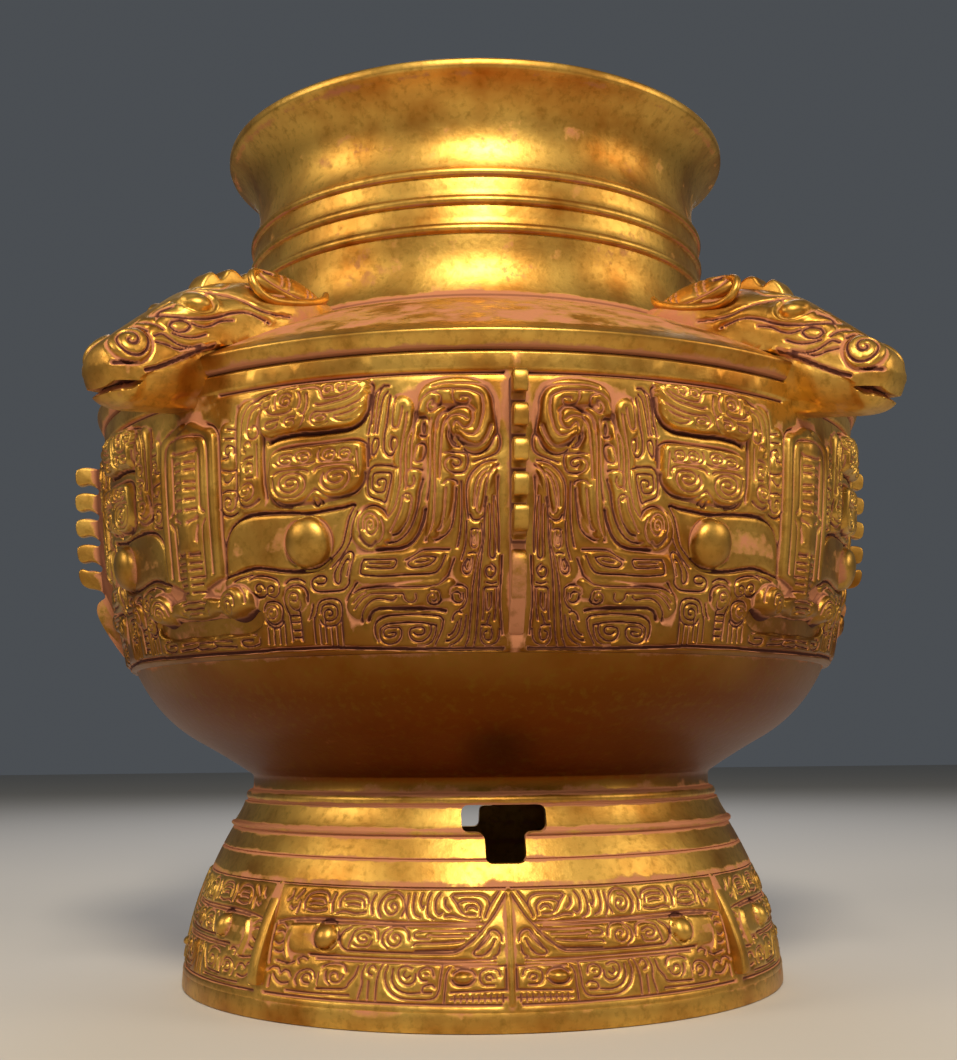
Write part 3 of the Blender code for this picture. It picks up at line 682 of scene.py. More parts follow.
# earth under the strings, the neck's base and the keel and round the foot: height, half width, amount;
# amounts above 0.75 also darken, as painted shadow under the strings and the keel and in the grooves round
# the neck's base and the foot
vesselEarthAndShade = dict(
    bands=[(292.9, 1.0, 0.95), (304.5, 1.0, 0.95), (316.1, 1.0, 0.95), (298, 0.8, 0.5), (309.5, 0.8, 0.5),
           (321, 1.0, 0.5), (267.2, 2.2, 0.9), (229, 1.2, 0.9), (226, 2.0, 0.5), (129, 1.4, 0.6),
           (79.2, 1.0, 0.8), (75.1, 0.9, 0.8), (66.6, 0.8, 0.7), (64.4, 1.0, 0.8), (56.5, 0.8, 0.8),
           (48, 1.6, 0.5), (8.5, 1.2, 0.6), (354.5, 1.4, 0.35)],
    shoulderLow=235.6, shoulderTop=267, shoulder=0.37, footInside=0.35, bellyInside=0.18, lip=359.6,
                   keel=235,
    stringCrest=1.8, neckLow=268, neckShine=0.08)


def paintVessel(mesh):
    s, e = vesselSize, vesselEarthAndShade
    spots = getSpots(mesh) / mm
    r, z = np.hypot(spots[:, 0], spots[:, 1]), spots[:, 2]
    earthAndShade = np.where((z > e["shoulderLow"]) & (z < e["shoulderTop"]), e["shoulder"], 0.0)
    for at, wide, much in e["bands"]:
        earthAndShade = np.maximum(earthAndShade, much * np.exp(-((z - at) / wide) ** 2))
    outside = r > np.interp(z, [0, 84, 120, 230, 265, 360], [120, 96, 140, 158, 103, 100])
    earthAndShade = np.where(outside, earthAndShade, np.where(z < 84, e["footInside"], e["bellyInside"]))
    worn = np.exp(-((z - e["lip"]) / 0.8) ** 2) + np.exp(-((z - e["keel"]) / 0.9) ** 2)
    worn += e["neckShine"] * (z > e["neckLow"])
    for k in range(s["strings"]):
        crest = s["stringLow"] + e["stringCrest"] + s["stringPitch"] * k
        worn += 0.8 * np.exp(-((z - crest) / 0.9) ** 2)
    return setLook(mesh, earthAndShade, worn)


vesselWall = finishPiece("vesselWall", paintVessel(piercedWall()), vesselSize["sharp"])
print("vesselWall", triangleCount(vesselWall.data), "triangles")


# belly frieze: half a mask, x from the flange and y up the wall, in mm

maskSize = dict(wide=126.4, low=0.7, top=101.4, seat=127.0, cell=0.30, triangles=60000, skirt=3.2,
                line=0.85, half=0.42, wideLine=1.1, wideHalf=0.66, deepLine=1.4, deepHalf=0.62,
                mouthLine=4.2, mouthHalf=2.6, round=0.5, fade=0.8, ground=0.22, band=94.4, bandRise=0.5,
                lowEase=1.8, topEase=1.0)

# bars are path, widths, height, flat share; plates corners, height, soft edge; mounds centre, radii, height
maskForms = dict(
    bars=[([(31, 81), (27, 87), (13, 85.5), (12, 72), (20, 74.5)], [4, 8, 9.5, 9, 4], 3.0, 0.25),
          ([(26.5, 79), (25.5, 52), (29, 39)], [8, 8.5, 4], 2.0, 0.25),
          ([(38.3, 82), (36.5, 62), (40, 46), (50, 40)], [9, 10, 9, 6], 2.0, 0.25),
          ([(24, 22), (55, 17)], [7, 10], 2.0, 0.25),
          ([(95.5, 84), (95.5, 55)], [12, 12], 2.0, 0.25),
          ([(28, 29), (56, 29)], [12, 9], 1.3, 0.25),
          ([(8.5, 61), (12, 56), (13.6, 48)], [4, 7, 5], 1.4, 0.25),
          ([(106, 80), (106, 54)], [6.5, 6.5], 1.2, 0.25),
          ([(88, 23.5), (107, 27.5)], [7, 7], 1.2, 0.25),
          ([(126.4, 26), (126.4, 78)], [13, 13], 3.6, 0.25)],
    plates=[([(49, 92.5), (49.2, 87), (50, 82.5), (51.5, 79.8), (54, 77.8), (59, 76.5), (66, 76.2),
              (76, 76.2), (87, 75.6), (90.5, 78), (90.5, 84), (88, 90), (78, 92.8), (60, 92.8)], 4.0, 3.0),
            ([(50.9, 63), (50.9, 69.5), (52.6, 71.5), (58, 72.1), (76, 71.5), (84, 70.7), (86.7, 68),
              (87.5, 60), (86, 54.2), (80, 52), (70, 52.4), (61, 53.3), (55.6, 54.8), (52.5, 57.8)], 3.2,
             2.4),
            ([(110.5, 29), (110.5, 76), (112, 81), (116, 83), (128, 82), (128, 29)], 2.1, 1.6),
            ([(107, 15.2), (114, 16.6), (120, 15.6), (128, 15.4), (128, 22), (118, 22.5), (108, 20)], 3.0,
             2.0)],
    mounds=[((17, 77.6), (6.0, 6.0), 3.2), ((49.5, 42), (7.4, 7.4), 3.6), ((79.8, 20.2), (4.6, 4.6), 2.6),
            ((90, 15.6), (3.6, 3.6), 1.6), ((104.9, 19.4), (7.8, 6.8), 6.0, 0.9),
            ((96.8, 57.6), (4.6, 3.6), 3.0), ((95.6, 73), (3.6, 3.2), 2.8), ((96, 65.4), (3.6, 2.6), 2.8)])

maskEye = dict(at=(73.3, 38.5), radius=8.5, high=5.0, edge=8.6, ring=9.1, ringHalf=0.55, ringDeep=0.7,
               clean=7.6, worn=6.5)

maskThin = """
4,93.8 40,94 75,94 110,93.9 | 62.7,12.9 62.9,4 | 65.1,10.7 65.1,4.1 | 67.2,9.5 67.2,4.1 | 69.4,12.5 69.4,5 |
71.6,11 71.6,4.6 | 73.8,13.5 73.9,4.8 | 86.1,11.6 86.4,5 | 88.4,11 88.6,5.2 | 91,10.4 91.3,5.2 | 93.6,10.8
93.8,5.4 | 110.4,31 110.3,46 110.2,60 110.4,77 111.4,81 113.5,83.4 116.5,84.6 | 114.8,31 114.9,50 114.8,70
115.3,77 117,79.6 120,80.6 124,80.8 126.4,80.8 | 119,30.6 118.9,46 118.1,48.8 116.6,50.2 | 117,53 119,54.4
119.3,58 119.3,73.5 | 120.5,51.2 122.4,50.4 124.5,49.6 | 121.6,43 121.5,45.6 120.6,48 | 119.8,75.6
121.5,75.1 124,74.7 126.4,74.6 | 121.2,71.3 125.2,71.2 | 121.3,68.6 125.4,68.5 | 121.2,64 125.3,64.3 |
121.3,61.6 125.2,61.8 | 121.5,58 125.3,57.9 | 121,54.3 125.2,54.1 | 120.2,35.2 125.2,35.1 | 120.5,32.9
125.2,32.6 | 119,30.1 125,29.9 | 120.5,27.5 125,27.3 | 120.8,24.7 125.2,24.6 | 120,20.8 123,21.2 126.4,21.2
| 121,18.8 123,19 126.4,18.8 | 119,17.8 120,16.8 122,16.7 124,17.3 126.4,17.2 | 98,29 100,28.7 103.5,28.1
106,27.2 | 120.5,5.4 123,4.8 126.4,4.9 | 122,7.2 124.5,7.2 126.4,7.2 | 6.3,73.6 7.3,80 7.7,84 8.6,86.5
10.4,88.7 13.8,89.6 18,89.8 24,89.6 27.5,88.8 | 11.1,83.6 11.3,84.9 12,85.9 14,86.9 16.2,87.6 19.1,87.8
23.6,88 26.8,87.5 29.1,86.6 31.4,84.5 32.5,81.8 33.2,79.5 33.9,76.8 34.3,73.6 34.8,69.5 35,65.5 35.2,62 |
11.1,83.6 10.9,81.4 11.1,79.1 11.7,76.8 12.2,75 13,73.4 14,72.5 15.1,72.3 16.7,72.6 18.2,73.4 19.3,74.3 |
16.2,77.5 17.2,78.4 19.1,79.1 21.4,79 23.2,78 24.1,76.4 24.5,74.5 24.8,72.3 25,69.5 25.2,66.8 25.5,63
25.7,58 | 14.6,79.4 14.5,77.4 15.5,75.4 17.3,74.6 18.6,75.6 19.9,77 20.6,76.2 20.7,74.6 20,72.6 18.8,70.6
17.7,69.2 | 7.6,71.8 8.9,69.1 10.5,67.3 12.5,66.3 14.3,66.1 16.2,66.8 17.6,67.8 | 7.1,72.3 6.2,73 5.6,71.8
5.4,69.5 6,67.3 7.6,65.9 10.5,64.8 12.8,64.1 14.3,63.6 | 6.9,64.1 8.9,63.9 11.3,63.2 13.2,61.8 14.8,60.2
16.1,58 16.8,55.7 17,52.5 16.8,48.5 16.4,44.8 | 24.1,66.4 21.8,66.7 19.1,66.8 17.4,66.6 16.4,65.9 16.2,63.6
16.7,61.5 17.6,60.3 20,59.9 22.3,60.3 23.6,61.6 23.8,63.2 23,64.5 21.4,65.2 19.5,64.8 18.6,63.6 19.1,62.5
20.5,62.2 21.4,63 | 22.7,73.6 22.7,71.8 21.8,70 20.5,68.9 19.1,68.6 | 21.8,72.7 21.4,70.9 20.2,69.7 |
18.3,84.6 18.2,85.2 17,85.2 15.6,84.9 15.3,83.9 16.1,83.1 17.7,82.8 20,83.6 21,85 21.1,86.4 20.9,87.4 |
27.3,86.7 25.9,86.4 25,85.5 24.9,84.1 25.5,82.7 26.8,81.4 28.2,80.5 29.3,81.4 29.3,82.7 28.4,84.1 27.3,84.6
27.6,83.4 28.2,82.7 | 32.3,79 31.5,79 30.2,78.7 29.4,77.7 29.1,76 29.2,74.5 29.6,72.8 30.9,72.3 32.3,72.7 |
30.7,76.8 30.5,74.5 31,73.4 31.4,75 31.1,76.8 | 30.2,67.7 30.5,69.3 31.6,70 33,69.5 33.6,67.7 33.9,65.9
34.1,64.5 33.4,63.6 32,64.1 30.9,65.7 30.2,67.7 | 26.6,76 27,72.3 27.3,67 27.3,60 27.3,54.8 27.5,51.2
27.7,47.5 28.2,43.5 29.3,40.3 30.9,37.8 | 28.2,78.2 28.5,74.5 28.7,70 28.7,65.5 28.9,59.4 29.3,54.8
30.2,51.2 | 37.9,82.7 38.1,80.5 38.8,77.7 39.4,75.9 40.4,75.5 41.3,76.1 41.5,77.7 41.2,81.4 40.8,84.1
40.4,85.9 | 42.4,86.8 42.9,83.6 43.3,80 43.8,76.8 44.6,73.2 44.8,69.5 44.3,67.7 43.1,66.4 41.5,66.8
40.4,68.6 39.8,70.2 40.1,71.8 41.3,72.3 42.2,71.4 42.4,69.5 41.9,68.2 | 43.3,88.2 44.6,86.8 45.5,84.1
46.2,80.5 46.8,76.8 47.1,74.2 | 42.9,90.2 44.8,90.2 46.6,89.1 47.7,87.3 48.3,84 48.7,80.5 49.1,77.5 |
33.9,80.5 34.5,76 36.1,71.4 36.8,66.8 36.9,63.2 36.8,58 37.2,54.6 | 36.3,80.5 36.9,75.9 37.9,70.9 38.6,65.9
38.8,60.3 39,56.6 39.9,53 40.8,49.4 42.2,47.1 43.5,45.7 | 6.2,62.5 8.1,60.7 9.3,58.9 10.1,56.2 10.5,53
11.1,49.8 11.9,47.1 12.6,46.4 13.4,47.1 | 9.9,59.6 11.3,58 12.2,55.7 12.9,52.5 13.4,49.4 13.4,47.1 | 9.8,61
11.7,59.6 13,57.5 13.8,54.8 14.1,51.6 14.3,48.5 | 11.4,45.3 12.5,44.4 13.8,44.1 15.1,44.8 15.6,46 | 6.2,58.5
6.5,51.6 6.2,44.8 6,38 6.1,33.5 | 7.6,52.1 7.8,48.5 7.6,43.9 7.4,39.4 7.2,34.8 7.5,32.1 | 9.1,49.4 8.9,44.8
8.9,40.3 9.1,35.7 9.1,32.6 8.4,31.6 7.6,31.9 | 10.1,51.6 10.7,47.1 10.9,42.5 11.1,38 11.7,34 12.6,27.7
13.1,20.8 13.6,12.9 14.2,6.6 15,2.9 | 11.9,43 11.7,39.4 12.1,35.7 13.4,31.2 14.4,26 15.2,20.8 15.6,15.6
16.3,10.3 16.8,5.6 18,2.8 | 17,43.9 17.1,40.3 17.5,35.7 18.8,31.2 | 12.6,41 13.4,41.3 14.7,41.3 15.6,41 |
13.4,40.3 13.1,38 13.4,35.7 14.4,35 15.4,35.7 15.6,38 15.3,40.3 | 14.3,39.4 14,37.5 14.3,36.2 14.9,37.1
14.9,38.9 | 13.8,33.2 15,33.6 16.5,33.2 | 29.1,38.2 27.3,37.8 25.5,38.5 23.2,40.3 21.8,43 21.1,47.1
20.5,51.2 20.2,54.8 | 23.6,54.8 23.9,51.2 24.3,47.1 25,43.9 25.9,41.6 26.8,40.7 | 19.8,56.2 20.2,57.3
21.8,57.6 23.4,57.3 24.3,56.2 | 18.6,57 18.5,52 18.6,46 19.2,40 20.1,35.5 | 31.6,58 32.2,55.5 32.7,53.9
33.4,49.8 34.3,46.2 35.9,42.5 37.9,39.8 40.4,38 42.6,37.3 44.8,37.3 | 36.4,51.2 38.3,52.5 | 38.3,52.5
37.2,53.2 35.9,52.9 35.2,51.6 35.4,49.7 36,47.2 36.9,44.4 38.5,42.1 40.4,40.3 42.2,39.8 | 38.4,52.3
38.6,50.6 39.2,48 40.4,45.3 41.7,42.5 42.9,40.7 | 31.8,61 33.2,61.4 35,61.4 36.3,60.7 37.1,58.9 37.1,56.6
36.3,55.5 35,55.7 34.2,57.1 34.4,58.9 | 23,34.6 27.6,34.6 32.1,34.4 35,32.8 38,31.2 | 9.3,25.3 8.5,25.3
7.4,26.6 7.2,28.2 8.4,29.6 | 8.5,25.3 9.8,25.5 10.5,26.9 10.4,28.2 9.6,28.7 8.7,28.5 8.3,27.7 | 6.9,23.6
8.5,23.2 10.4,23.7 | 6.6,22.2 7.7,22 9.8,22 11.1,21.6 11.3,18.2 11.5,14.5 11.8,11.4 | 6.9,21.4 6.9,18.2
7.2,14.5 7.7,11.4 | 8.7,20.3 8.6,16.6 9.3,14.8 10.2,14.4 10.2,17 10,20 | 9.1,13.3 9.8,11.6 10.2,10.3 | 9,9.3
10.5,9.7 12.1,9.7 | 5.8,8.2 6.1,5.3 7.4,3.6 9.8,2.9 11.8,3.7 12.6,6.1 12.3,8.7 | 8.7,8.2 8.5,6.6 9,4.9
10.2,4.6 11.3,5.6 11.3,7.2 10.2,7.6 | 5.1,32.4 5.3,26.1 5.8,18.2 5.3,11.9 4.9,6.6 | 15,31.9 15.1,29.8
15.7,27.4 17,26.4 18.3,27.2 18.3,29.3 16.9,31.6 | 16,31.2 16.2,28.7 17.1,27.7 17.5,29 16.7,31.1 | 17,21.6
18.5,22.7 20.6,22.8 22.5,21.6 23,19.8 | 17,20.8 17.2,18.2 18.3,15.8 19.6,14.9 | 18.5,20.1 18.4,18.2
19.6,17.1 21.4,17.3 22.3,18.7 22,20.2 20.6,20.6 19.5,19.9 19.3,18.7 | 19.1,13.7 20.1,14.1 21.2,13.7 22,12.7
22.3,11.4 | 17.5,12.9 18,9.3 19.1,6.1 21.2,4 23.7,3 | 19.3,11.9 19.9,8.7 21.2,6.1 23.5,4.7 24.8,4.5 |
20.6,10.8 21.7,8.2 23,6.6 24,6.4 | 21.3,31.5 22.2,29.3 23,27.2 24,25.3 25.8,23.7 27.9,22.7 33.1,22.3
38.1,22.3 43.2,22.5 48,22.7 52.6,22.5 54.9,22.2 57.2,21.1 | 24.3,32.5 25.6,29.3 26.6,27.9 27.9,26.9 31,26.5
38.1,26.4 45.6,26.2 50.3,26.5 54,27.2 53.9,29.2 53.5,30.8 52.8,31.8 | 27.4,31.9 28.5,30.4 30.2,29.4 33,28.8
35.9,28.8 37.3,29.8 36.7,30.8 33.9,31.9 31.2,32.4 27.4,31.9 | 30,30.9 32.5,30.4 34.4,30.5 | 52.4,31.8
49.7,31.8 45.1,31.6 41.7,31.6 41.3,30.4 42.6,28.8 45.5,28.8 48.8,29 51.8,29.4 | 43.5,30.2 47.4,30.3 51,30.6
| 29.5,21.2 27.7,21.2 26.6,20.4 26.3,18.2 27.4,16.7 29.5,16.6 30.7,17.7 30.4,19.3 29,20.1 27.8,19.5
27.8,18.2 28.7,17.7 29.5,18.2 | 34.7,19.8 34.7,18.2 35.9,17.3 37.6,17.4 38.8,18.7 39.1,20.1 41.2,20.3
46.1,20.4 50.3,20.4 52.6,19.5 54.9,17.7 56.8,15.6 | 41.6,19 42.7,18.1 44.2,18.2 46.6,18.7 48.9,18.7
51.2,17.7 53.1,15.8 54.4,13.5 54.9,11.4 | 52.6,21 54.9,19.8 57.2,17.6 | 25.6,11.4 26.9,12.7 30.5,13.2
35.6,13.5 40.7,13.4 45.6,13.1 48,12.4 49.8,11.1 50.5,9.3 50.3,6.6 49.4,4.8 | 25.6,11.4 26.3,8.2 27.9,5.1
29,3 | 28.2,9.7 33.1,10.6 38.1,10.8 43.2,10.6 46.6,10.2 48.5,9 | 30.2,9.6 30,8.2 31,6.1 33.1,4.6 35.6,4.5
37.4,5.6 37.9,7.5 37.1,8.8 35.1,9.2 33.1,9.1 32.3,8 33.1,6.9 35.1,6.6 36.4,7.4 | 28.2,9.3 28.7,6.6 30.2,4.2
32.6,3.2 35.1,3.1 | 48.5,9 48.9,7.2 48.2,5 46.1,3.8 43.7,4 41.6,5.3 40.7,7.7 41.7,9.2 43.7,9.2 45.6,9.2
47.1,8.6 47.5,7.5 46.9,6.4 45.2,6.1 43.2,6.6 43,7.6 45.6,7.4 | 44.5,90.5 46.1,88.2 47,84.5 47.5,80 47.9,75.5
48.3,74.3 | 49.8,90.7 49.1,91.2 48.4,90.8 48.1,89.8 48.6,86.8 48.8,83.2 49.2,79.5 49.8,75.9 50.2,74.1 |
46.8,72.3 47.9,72.6 48.4,72 49,70.5 49.1,68.2 48.7,66.8 48,67.3 47,69.1 46.6,70.9 46.8,72.3 | 50.1,72.7
50.1,69.5 49.8,65.9 | 50.1,91.1 50.9,90.2 52.2,88.6 54.7,86.9 57.6,85.9 61,85.3 63.5,84.8 66,84.5 67.3,84.8
| 51,91.3 52.6,90 54.3,88.8 56.8,87.8 59.3,87.1 61.8,86.7 64.4,86.7 65.2,87.5 65.6,89.1 66.4,90.2 68.2,90.9
71.1,91 73.2,90.7 | 49.7,89.1 50.6,86.8 51.8,85.2 54.3,84 56.8,83.1 59.3,82.5 62.2,82 65.2,82 67.3,82.3
68.6,81.8 69.6,80.5 69.4,79.1 68.2,78.1 65.2,78 63.4,78.6 | 51.6,83.6 53.4,82.3 55.5,81.4 58,80.8 60.6,80.5
| 50.1,84.5 51.3,82.3 53,80.4 55.1,79.2 57.6,78.6 60.1,79 61.2,79.8 | 63.9,80 64.4,80.7 66.4,80.9 67.9,80.5
67.7,79.5 65.2,79.3 63.9,80 | 56.6,89.2 56.8,90.9 58,91.5 59.5,90.9 59.7,89.5 58.5,88.6 57.5,89.4 |
52.2,91.8 53.8,91.1 55.5,90.9 | 61.2,89.1 61.6,90.5 63.1,91.1 64.4,90.5 64.4,89.3 63.3,88.6 62.3,89.4 |
70.9,88.8 70.7,85.9 71.3,83.2 72.4,82 73.4,82.7 | 73.9,89.7 73.2,87.7 73.4,85.5 74.3,84.1 | 76.7,88.6
77.9,89.6 79.9,89.6 81.2,88.5 81.4,86.8 80.2,85.6 78.3,85.6 77.3,86.6 77.9,87.9 79.1,88.2 80.2,87.5
79.8,86.7 | 74.6,91.8 77.2,91.6 79.9,91.4 81.8,90.6 82.7,89.1 83.1,86.8 82.8,84.5 | 76.7,84.1 78.1,83.1
80.7,82.7 83.5,82.8 85.3,83.4 86.3,84.3 | 75.5,81.4 76.7,81.4 78.6,81.1 79.5,79.8 78.8,78.6 77.2,78.4
75.8,79.3 76.4,80.2 77.8,80 | 71.9,81 72.6,79.3 73.9,78 75.8,77.4 79.2,77 83,76.7 86,76.5 | 81.6,80.9
84.8,80.5 86.5,80 87.3,78.9 85.8,78 83.1,78.4 82.1,79.3 | 50.5,63.2 50.5,66.8 50.7,70.2 51.2,71.1 52.6,71.9
56,72.3 60.1,72 65.2,71.8 69.4,71.7 75.8,71.6 80.4,71.3 84.3,70.6 86.6,68.6 87.4,65 87.6,60 87.3,56 85.8,53
83.1,51.6 79.2,51.2 | 53.5,68.6 53.1,63 53.3,60 | 55.5,67.7 55.7,68.6 56.8,69.2 58.5,69.2 59.5,68.2
59.5,66.8 58.5,65.9 56.9,65.9 56.1,66.7 56.5,67.7 57.5,68 58.3,67.4 | 61,67.7 61.4,68.9 63.1,69.5 64.7,68.9
65.6,67.7 65.2,66.4 63.5,65.7 61.9,66.1 61.6,67.2 62.6,68 64,67.7 63.9,67 | 54.8,66 55.5,65.2 61,65
65.2,65.1 66.9,65.9 67.3,67.7 66.6,69.3 | 69.9,67.7 70.7,69 72.8,69.5 75,69.1 75.8,68 75.3,66.6 73.2,65.8
71.3,66.1 71,67.2 72.4,68.1 74.1,67.8 73.7,67 | 76.5,68 77.7,68.7 80.2,68.7 81.9,67.9 82.1,66.4 80.6,65.5
78.4,65.6 77.4,66.5 78.6,67.3 80.4,67 | 68.6,65.4 71.4,64.8 77.2,64.7 82.1,64.8 83.7,66 | 54.4,62 54.7,63.2
56.3,63.7 58.9,63.9 61.8,64 65.2,63.8 67.7,63.4 68.6,62.4 | 71.1,62.3 72.4,62.9 75.8,63.2 80.4,63.2
83.5,62.8 84.8,62 | 51.4,61 51.9,58.1 54.1,55.3 57.4,53.9 62.7,53.3 65.3,53.9 67.3,55.3 68.6,56 70.6,54.6
73.3,52.9 76.8,52 81.1,52 84.1,53.3 | 65.3,61.2 66.3,58.9 65.3,56.7 62.7,55.4 59.4,55.6 57.1,57.2 56.1,59.7
56.9,61.7 59.4,62.4 62.7,62.1 64.4,60.4 63.6,58.6 61.3,57.8 59.2,58.5 58.5,59.8 60,60.6 62.1,60.2 |
85.1,60.6 84.7,57.2 82.9,54.8 79.2,53.8 75.5,54.3 72.9,56.2 72.4,58.8 73.5,61 76.2,62 79.5,61.9 82,60.5
82.4,58 80.7,56.2 77.8,55.7 75.3,57 75.1,59 76.8,60.2 79.2,59.9 80.1,58.6 78.4,57.8 76.8,58.2 | 67,51.7
68,53.5 69.7,53.5 70.3,51.7 69.3,50.8 68.4,51.6 | 39.9,62 42.6,62.9 45.7,63.3 48.2,63.3 49.5,62.4 50.4,60.6
50.8,58.1 50.9,55.8 50.6,54 49.8,52.9 48.2,52.2 46.2,51.5 44.8,50.8 43.9,53.1 43.1,56.3 42.4,59 42.6,60.4
43.9,60.8 46.6,60.9 48.5,60.6 49,59.5 49.3,57.2 49.1,55.6 48.2,54.6 46.6,54.2 45,54.6 44.3,57.2 44.4,58.4
45.7,58.8 47.2,58.3 47.4,57 46.6,56.5 | 43.5,45.8 44.8,47.6 46.6,49.2 48.7,49.9 50.6,49.6 52.2,48.3
53.5,45.8 53.8,43.1 53.2,40.4 51.8,37.9 50.1,36.6 48.2,36.6 46.2,38.1 45.1,40.4 45,42.6 45.8,45 | 49,43.2
49.5,43.6 50,42.8 49.6,41.8 48.8,41.6 48.2,42.6 48.3,44.2 49.1,45.2 50.2,44.9 50.9,43.5 50.8,41.6 50,40.2
48.8,39.8 47.6,40.7 46.7,42.5 47,44.8 48.2,46.5 49.8,47.1 51.2,46.2 51.9,44.2 51.9,41.7 | 56,49.6 57.9,46
59.2,41.7 61,36.9 65.4,32.6 | 54.8,48 56.4,43 58.1,38 61.9,33 65.1,30 | 57.8,29 58.6,26.5 59.3,24 61.3,22.4
65.3,21.9 69.1,21.9 71.7,22.3 73.1,23.3 73.5,25 72.6,26.5 70.4,27.3 68.2,27 67.6,26 68.4,24.9 70.8,24.6
71.7,25.2 | 57.8,29 56.8,32.5 57.1,34.5 58.4,35 60.1,34 62.5,31 64.3,28 64.3,25.4 63.1,24.4 62.3,25.5
61.9,28.5 60.7,31 59.1,32.4 58.1,31.5 58.6,29.5 59.5,27 | 56,24.5 57.3,23 58.8,21 60.1,18.8 | 73.5,13
72.6,15 71.7,17.5 70,19 66.8,19.5 63.8,19 62.5,17.5 62.4,15 63,12.5 64.8,10.9 67.7,10.4 70.2,11 71.2,12.6 |
70.8,14.8 70,17 67.7,17.8 65.3,17.3 64.3,16 64.4,14 65.9,12.5 68.4,12.1 69.6,13.4 69.3,15.2 67.7,16
66.3,15.2 66.6,14 67.8,13.9 | 73.5,17.8 74.4,15 75.5,13 | 77.5,19 77.9,17.2 79.7,16.2 81.6,17 82.4,19
81.9,21 80.3,22 78.7,21.5 78.2,20.2 79.2,19 80.5,19.4 | 75.5,19 75.3,21.5 76.6,23.6 79.3,24.5 82.5,23.7
84.5,21.6 85.1,19 84.4,16.5 83.5,14 83.3,6 | 79.7,14.3 82.8,14.5 | 79.7,12.2 82.5,12.2 | 79.7,9.4 82.3,9.4 |
79.7,7 82.3,7 | 79,15.5 79,6 | 91.6,22.4 91.6,23.4 90.9,24.6 89.5,24.9 88.5,24 89,22.8 90.2,22.6 | 86.3,24
86.7,22.2 88.6,21 90.9,21.4 92.1,22.2 93,21.6 95.7,21.4 97.5,22.6 | 86.3,25 87.2,26.4 89.5,27.6 92.5,28.4
96,28.5 98.8,27.6 | 92.4,24 93.1,25.2 94.4,25.8 96.1,25.2 96.5,23.8 95.2,23 93.9,23.6 | 94.6,16.6 93.5,18.9
91.3,19.7 88.6,19.4 86.6,18 86.3,15.5 87.1,13.2 89.1,12 91.3,12 93.1,13.4 93.5,15.8 92.3,17.4 90.2,17.9
88.4,17 88,15.3 89.2,13.9 91.1,13.9 92,15.2 91.1,16.3 89.8,16 | 86.3,12.6 88.1,11 90.4,10.6 93.1,11.8
94.6,13.8 | 76.1,25.5 77.9,26.5 79.7,26.8 82.5,26.5 84,25.4 | 83,90.8 86,91.2 89.5,91 92,90.2 94.9,88.4
96.9,85.8 98.4,82.4 99.1,77.4 99.4,72.4 99.8,65.3 | 89.3,88.5 92,87.3 94.5,84.9 95.6,81.7 96,78.1 94.9,76.2
93.1,75.8 91.7,77.2 91.9,79.4 93.3,80.6 94.5,79.6 | 85.1,88.8 86.6,89 88.2,87.8 88,86 86.4,85.5 85.3,86.6 |
88.6,84.6 90.2,85 91.5,83.2 91.9,80.8 | 89.6,82 89.7,77 90,72 90,66 89.8,60 89.2,55 | 101.2,88.1 102.2,82.4
102.2,76.7 102.2,68.9 102.6,61 102.9,55.3 | 92.2,74 92.2,68 92.1,62.5 | 94.2,73.4 95.3,74.9 96.9,74.6
97.7,72.8 96.5,71.6 | 93.8,69.6 96.9,69.3 98.2,68.2 | 94.2,64.6 94.1,67 96.3,67.4 97.1,65.6 96,64.2
95.1,65.2 | 94.2,62.6 96.8,62.4 | 96.5,58.2 95.5,58.8 95.3,57.5 96.5,56.5 98.4,56.8 99,58.4 98.2,60
96.3,60.7 94.5,60 93.8,58 94.5,55.9 96.4,54.8 98.8,55 100.4,56.6 100.8,59.5 100.1,63 | 103.3,77.4 106.7,77.6
| 103.1,80.5 105.6,81 | 103.3,72.2 103.5,74.4 105.7,74.9 106.9,73.1 105.8,71.6 104.7,72.6 | 105.1,70.8
108.1,70.6 | 102.6,66.2 104.6,65.8 108.4,66.6 | 103.7,63.8 105.1,62.2 106.9,62 107.7,63.4 | 103.3,58.8
106,59.1 108.8,58.6 | 106,53.9 104.9,54.6 105.1,56 106.7,56.6 108.1,55.6 108.2,53.6 106.8,52.1 104.6,52.2
103.4,53.8 103.5,56.4 | 102.7,51.2 105.6,50.3 108.9,50.9 110.6,53 | 99.3,19.6 99.9,22.4 102.3,24.8
105.5,25.6 108.9,24.4 111.4,22.1 112.6,19.4 | 103.3,18.9 103.6,21.4 105.5,22.6 108.1,22.2 110.3,19.9
110.5,17.2 109,15.2 | 106.7,18.6 107.8,17.9 107.3,16.4 105.9,16.2 104.9,17.6 105.2,19.6 106.8,20.4
108.7,19.2 109.2,17.2 | 99.3,8.7 104.9,9.1 110.4,8.9 117.3,8.6 121.5,8.6 126.4,8.8 | 109.7,4.9 114,5.2
118.3,5.4 121.5,6.2 121.8,7.4 117.2,7.4 111.8,7 | 97.9,7.2 98.4,5.6 101.4,4.8 104,4.7 106.4,5.4 107,6.8
104.9,7.1 101.4,6.9
"""

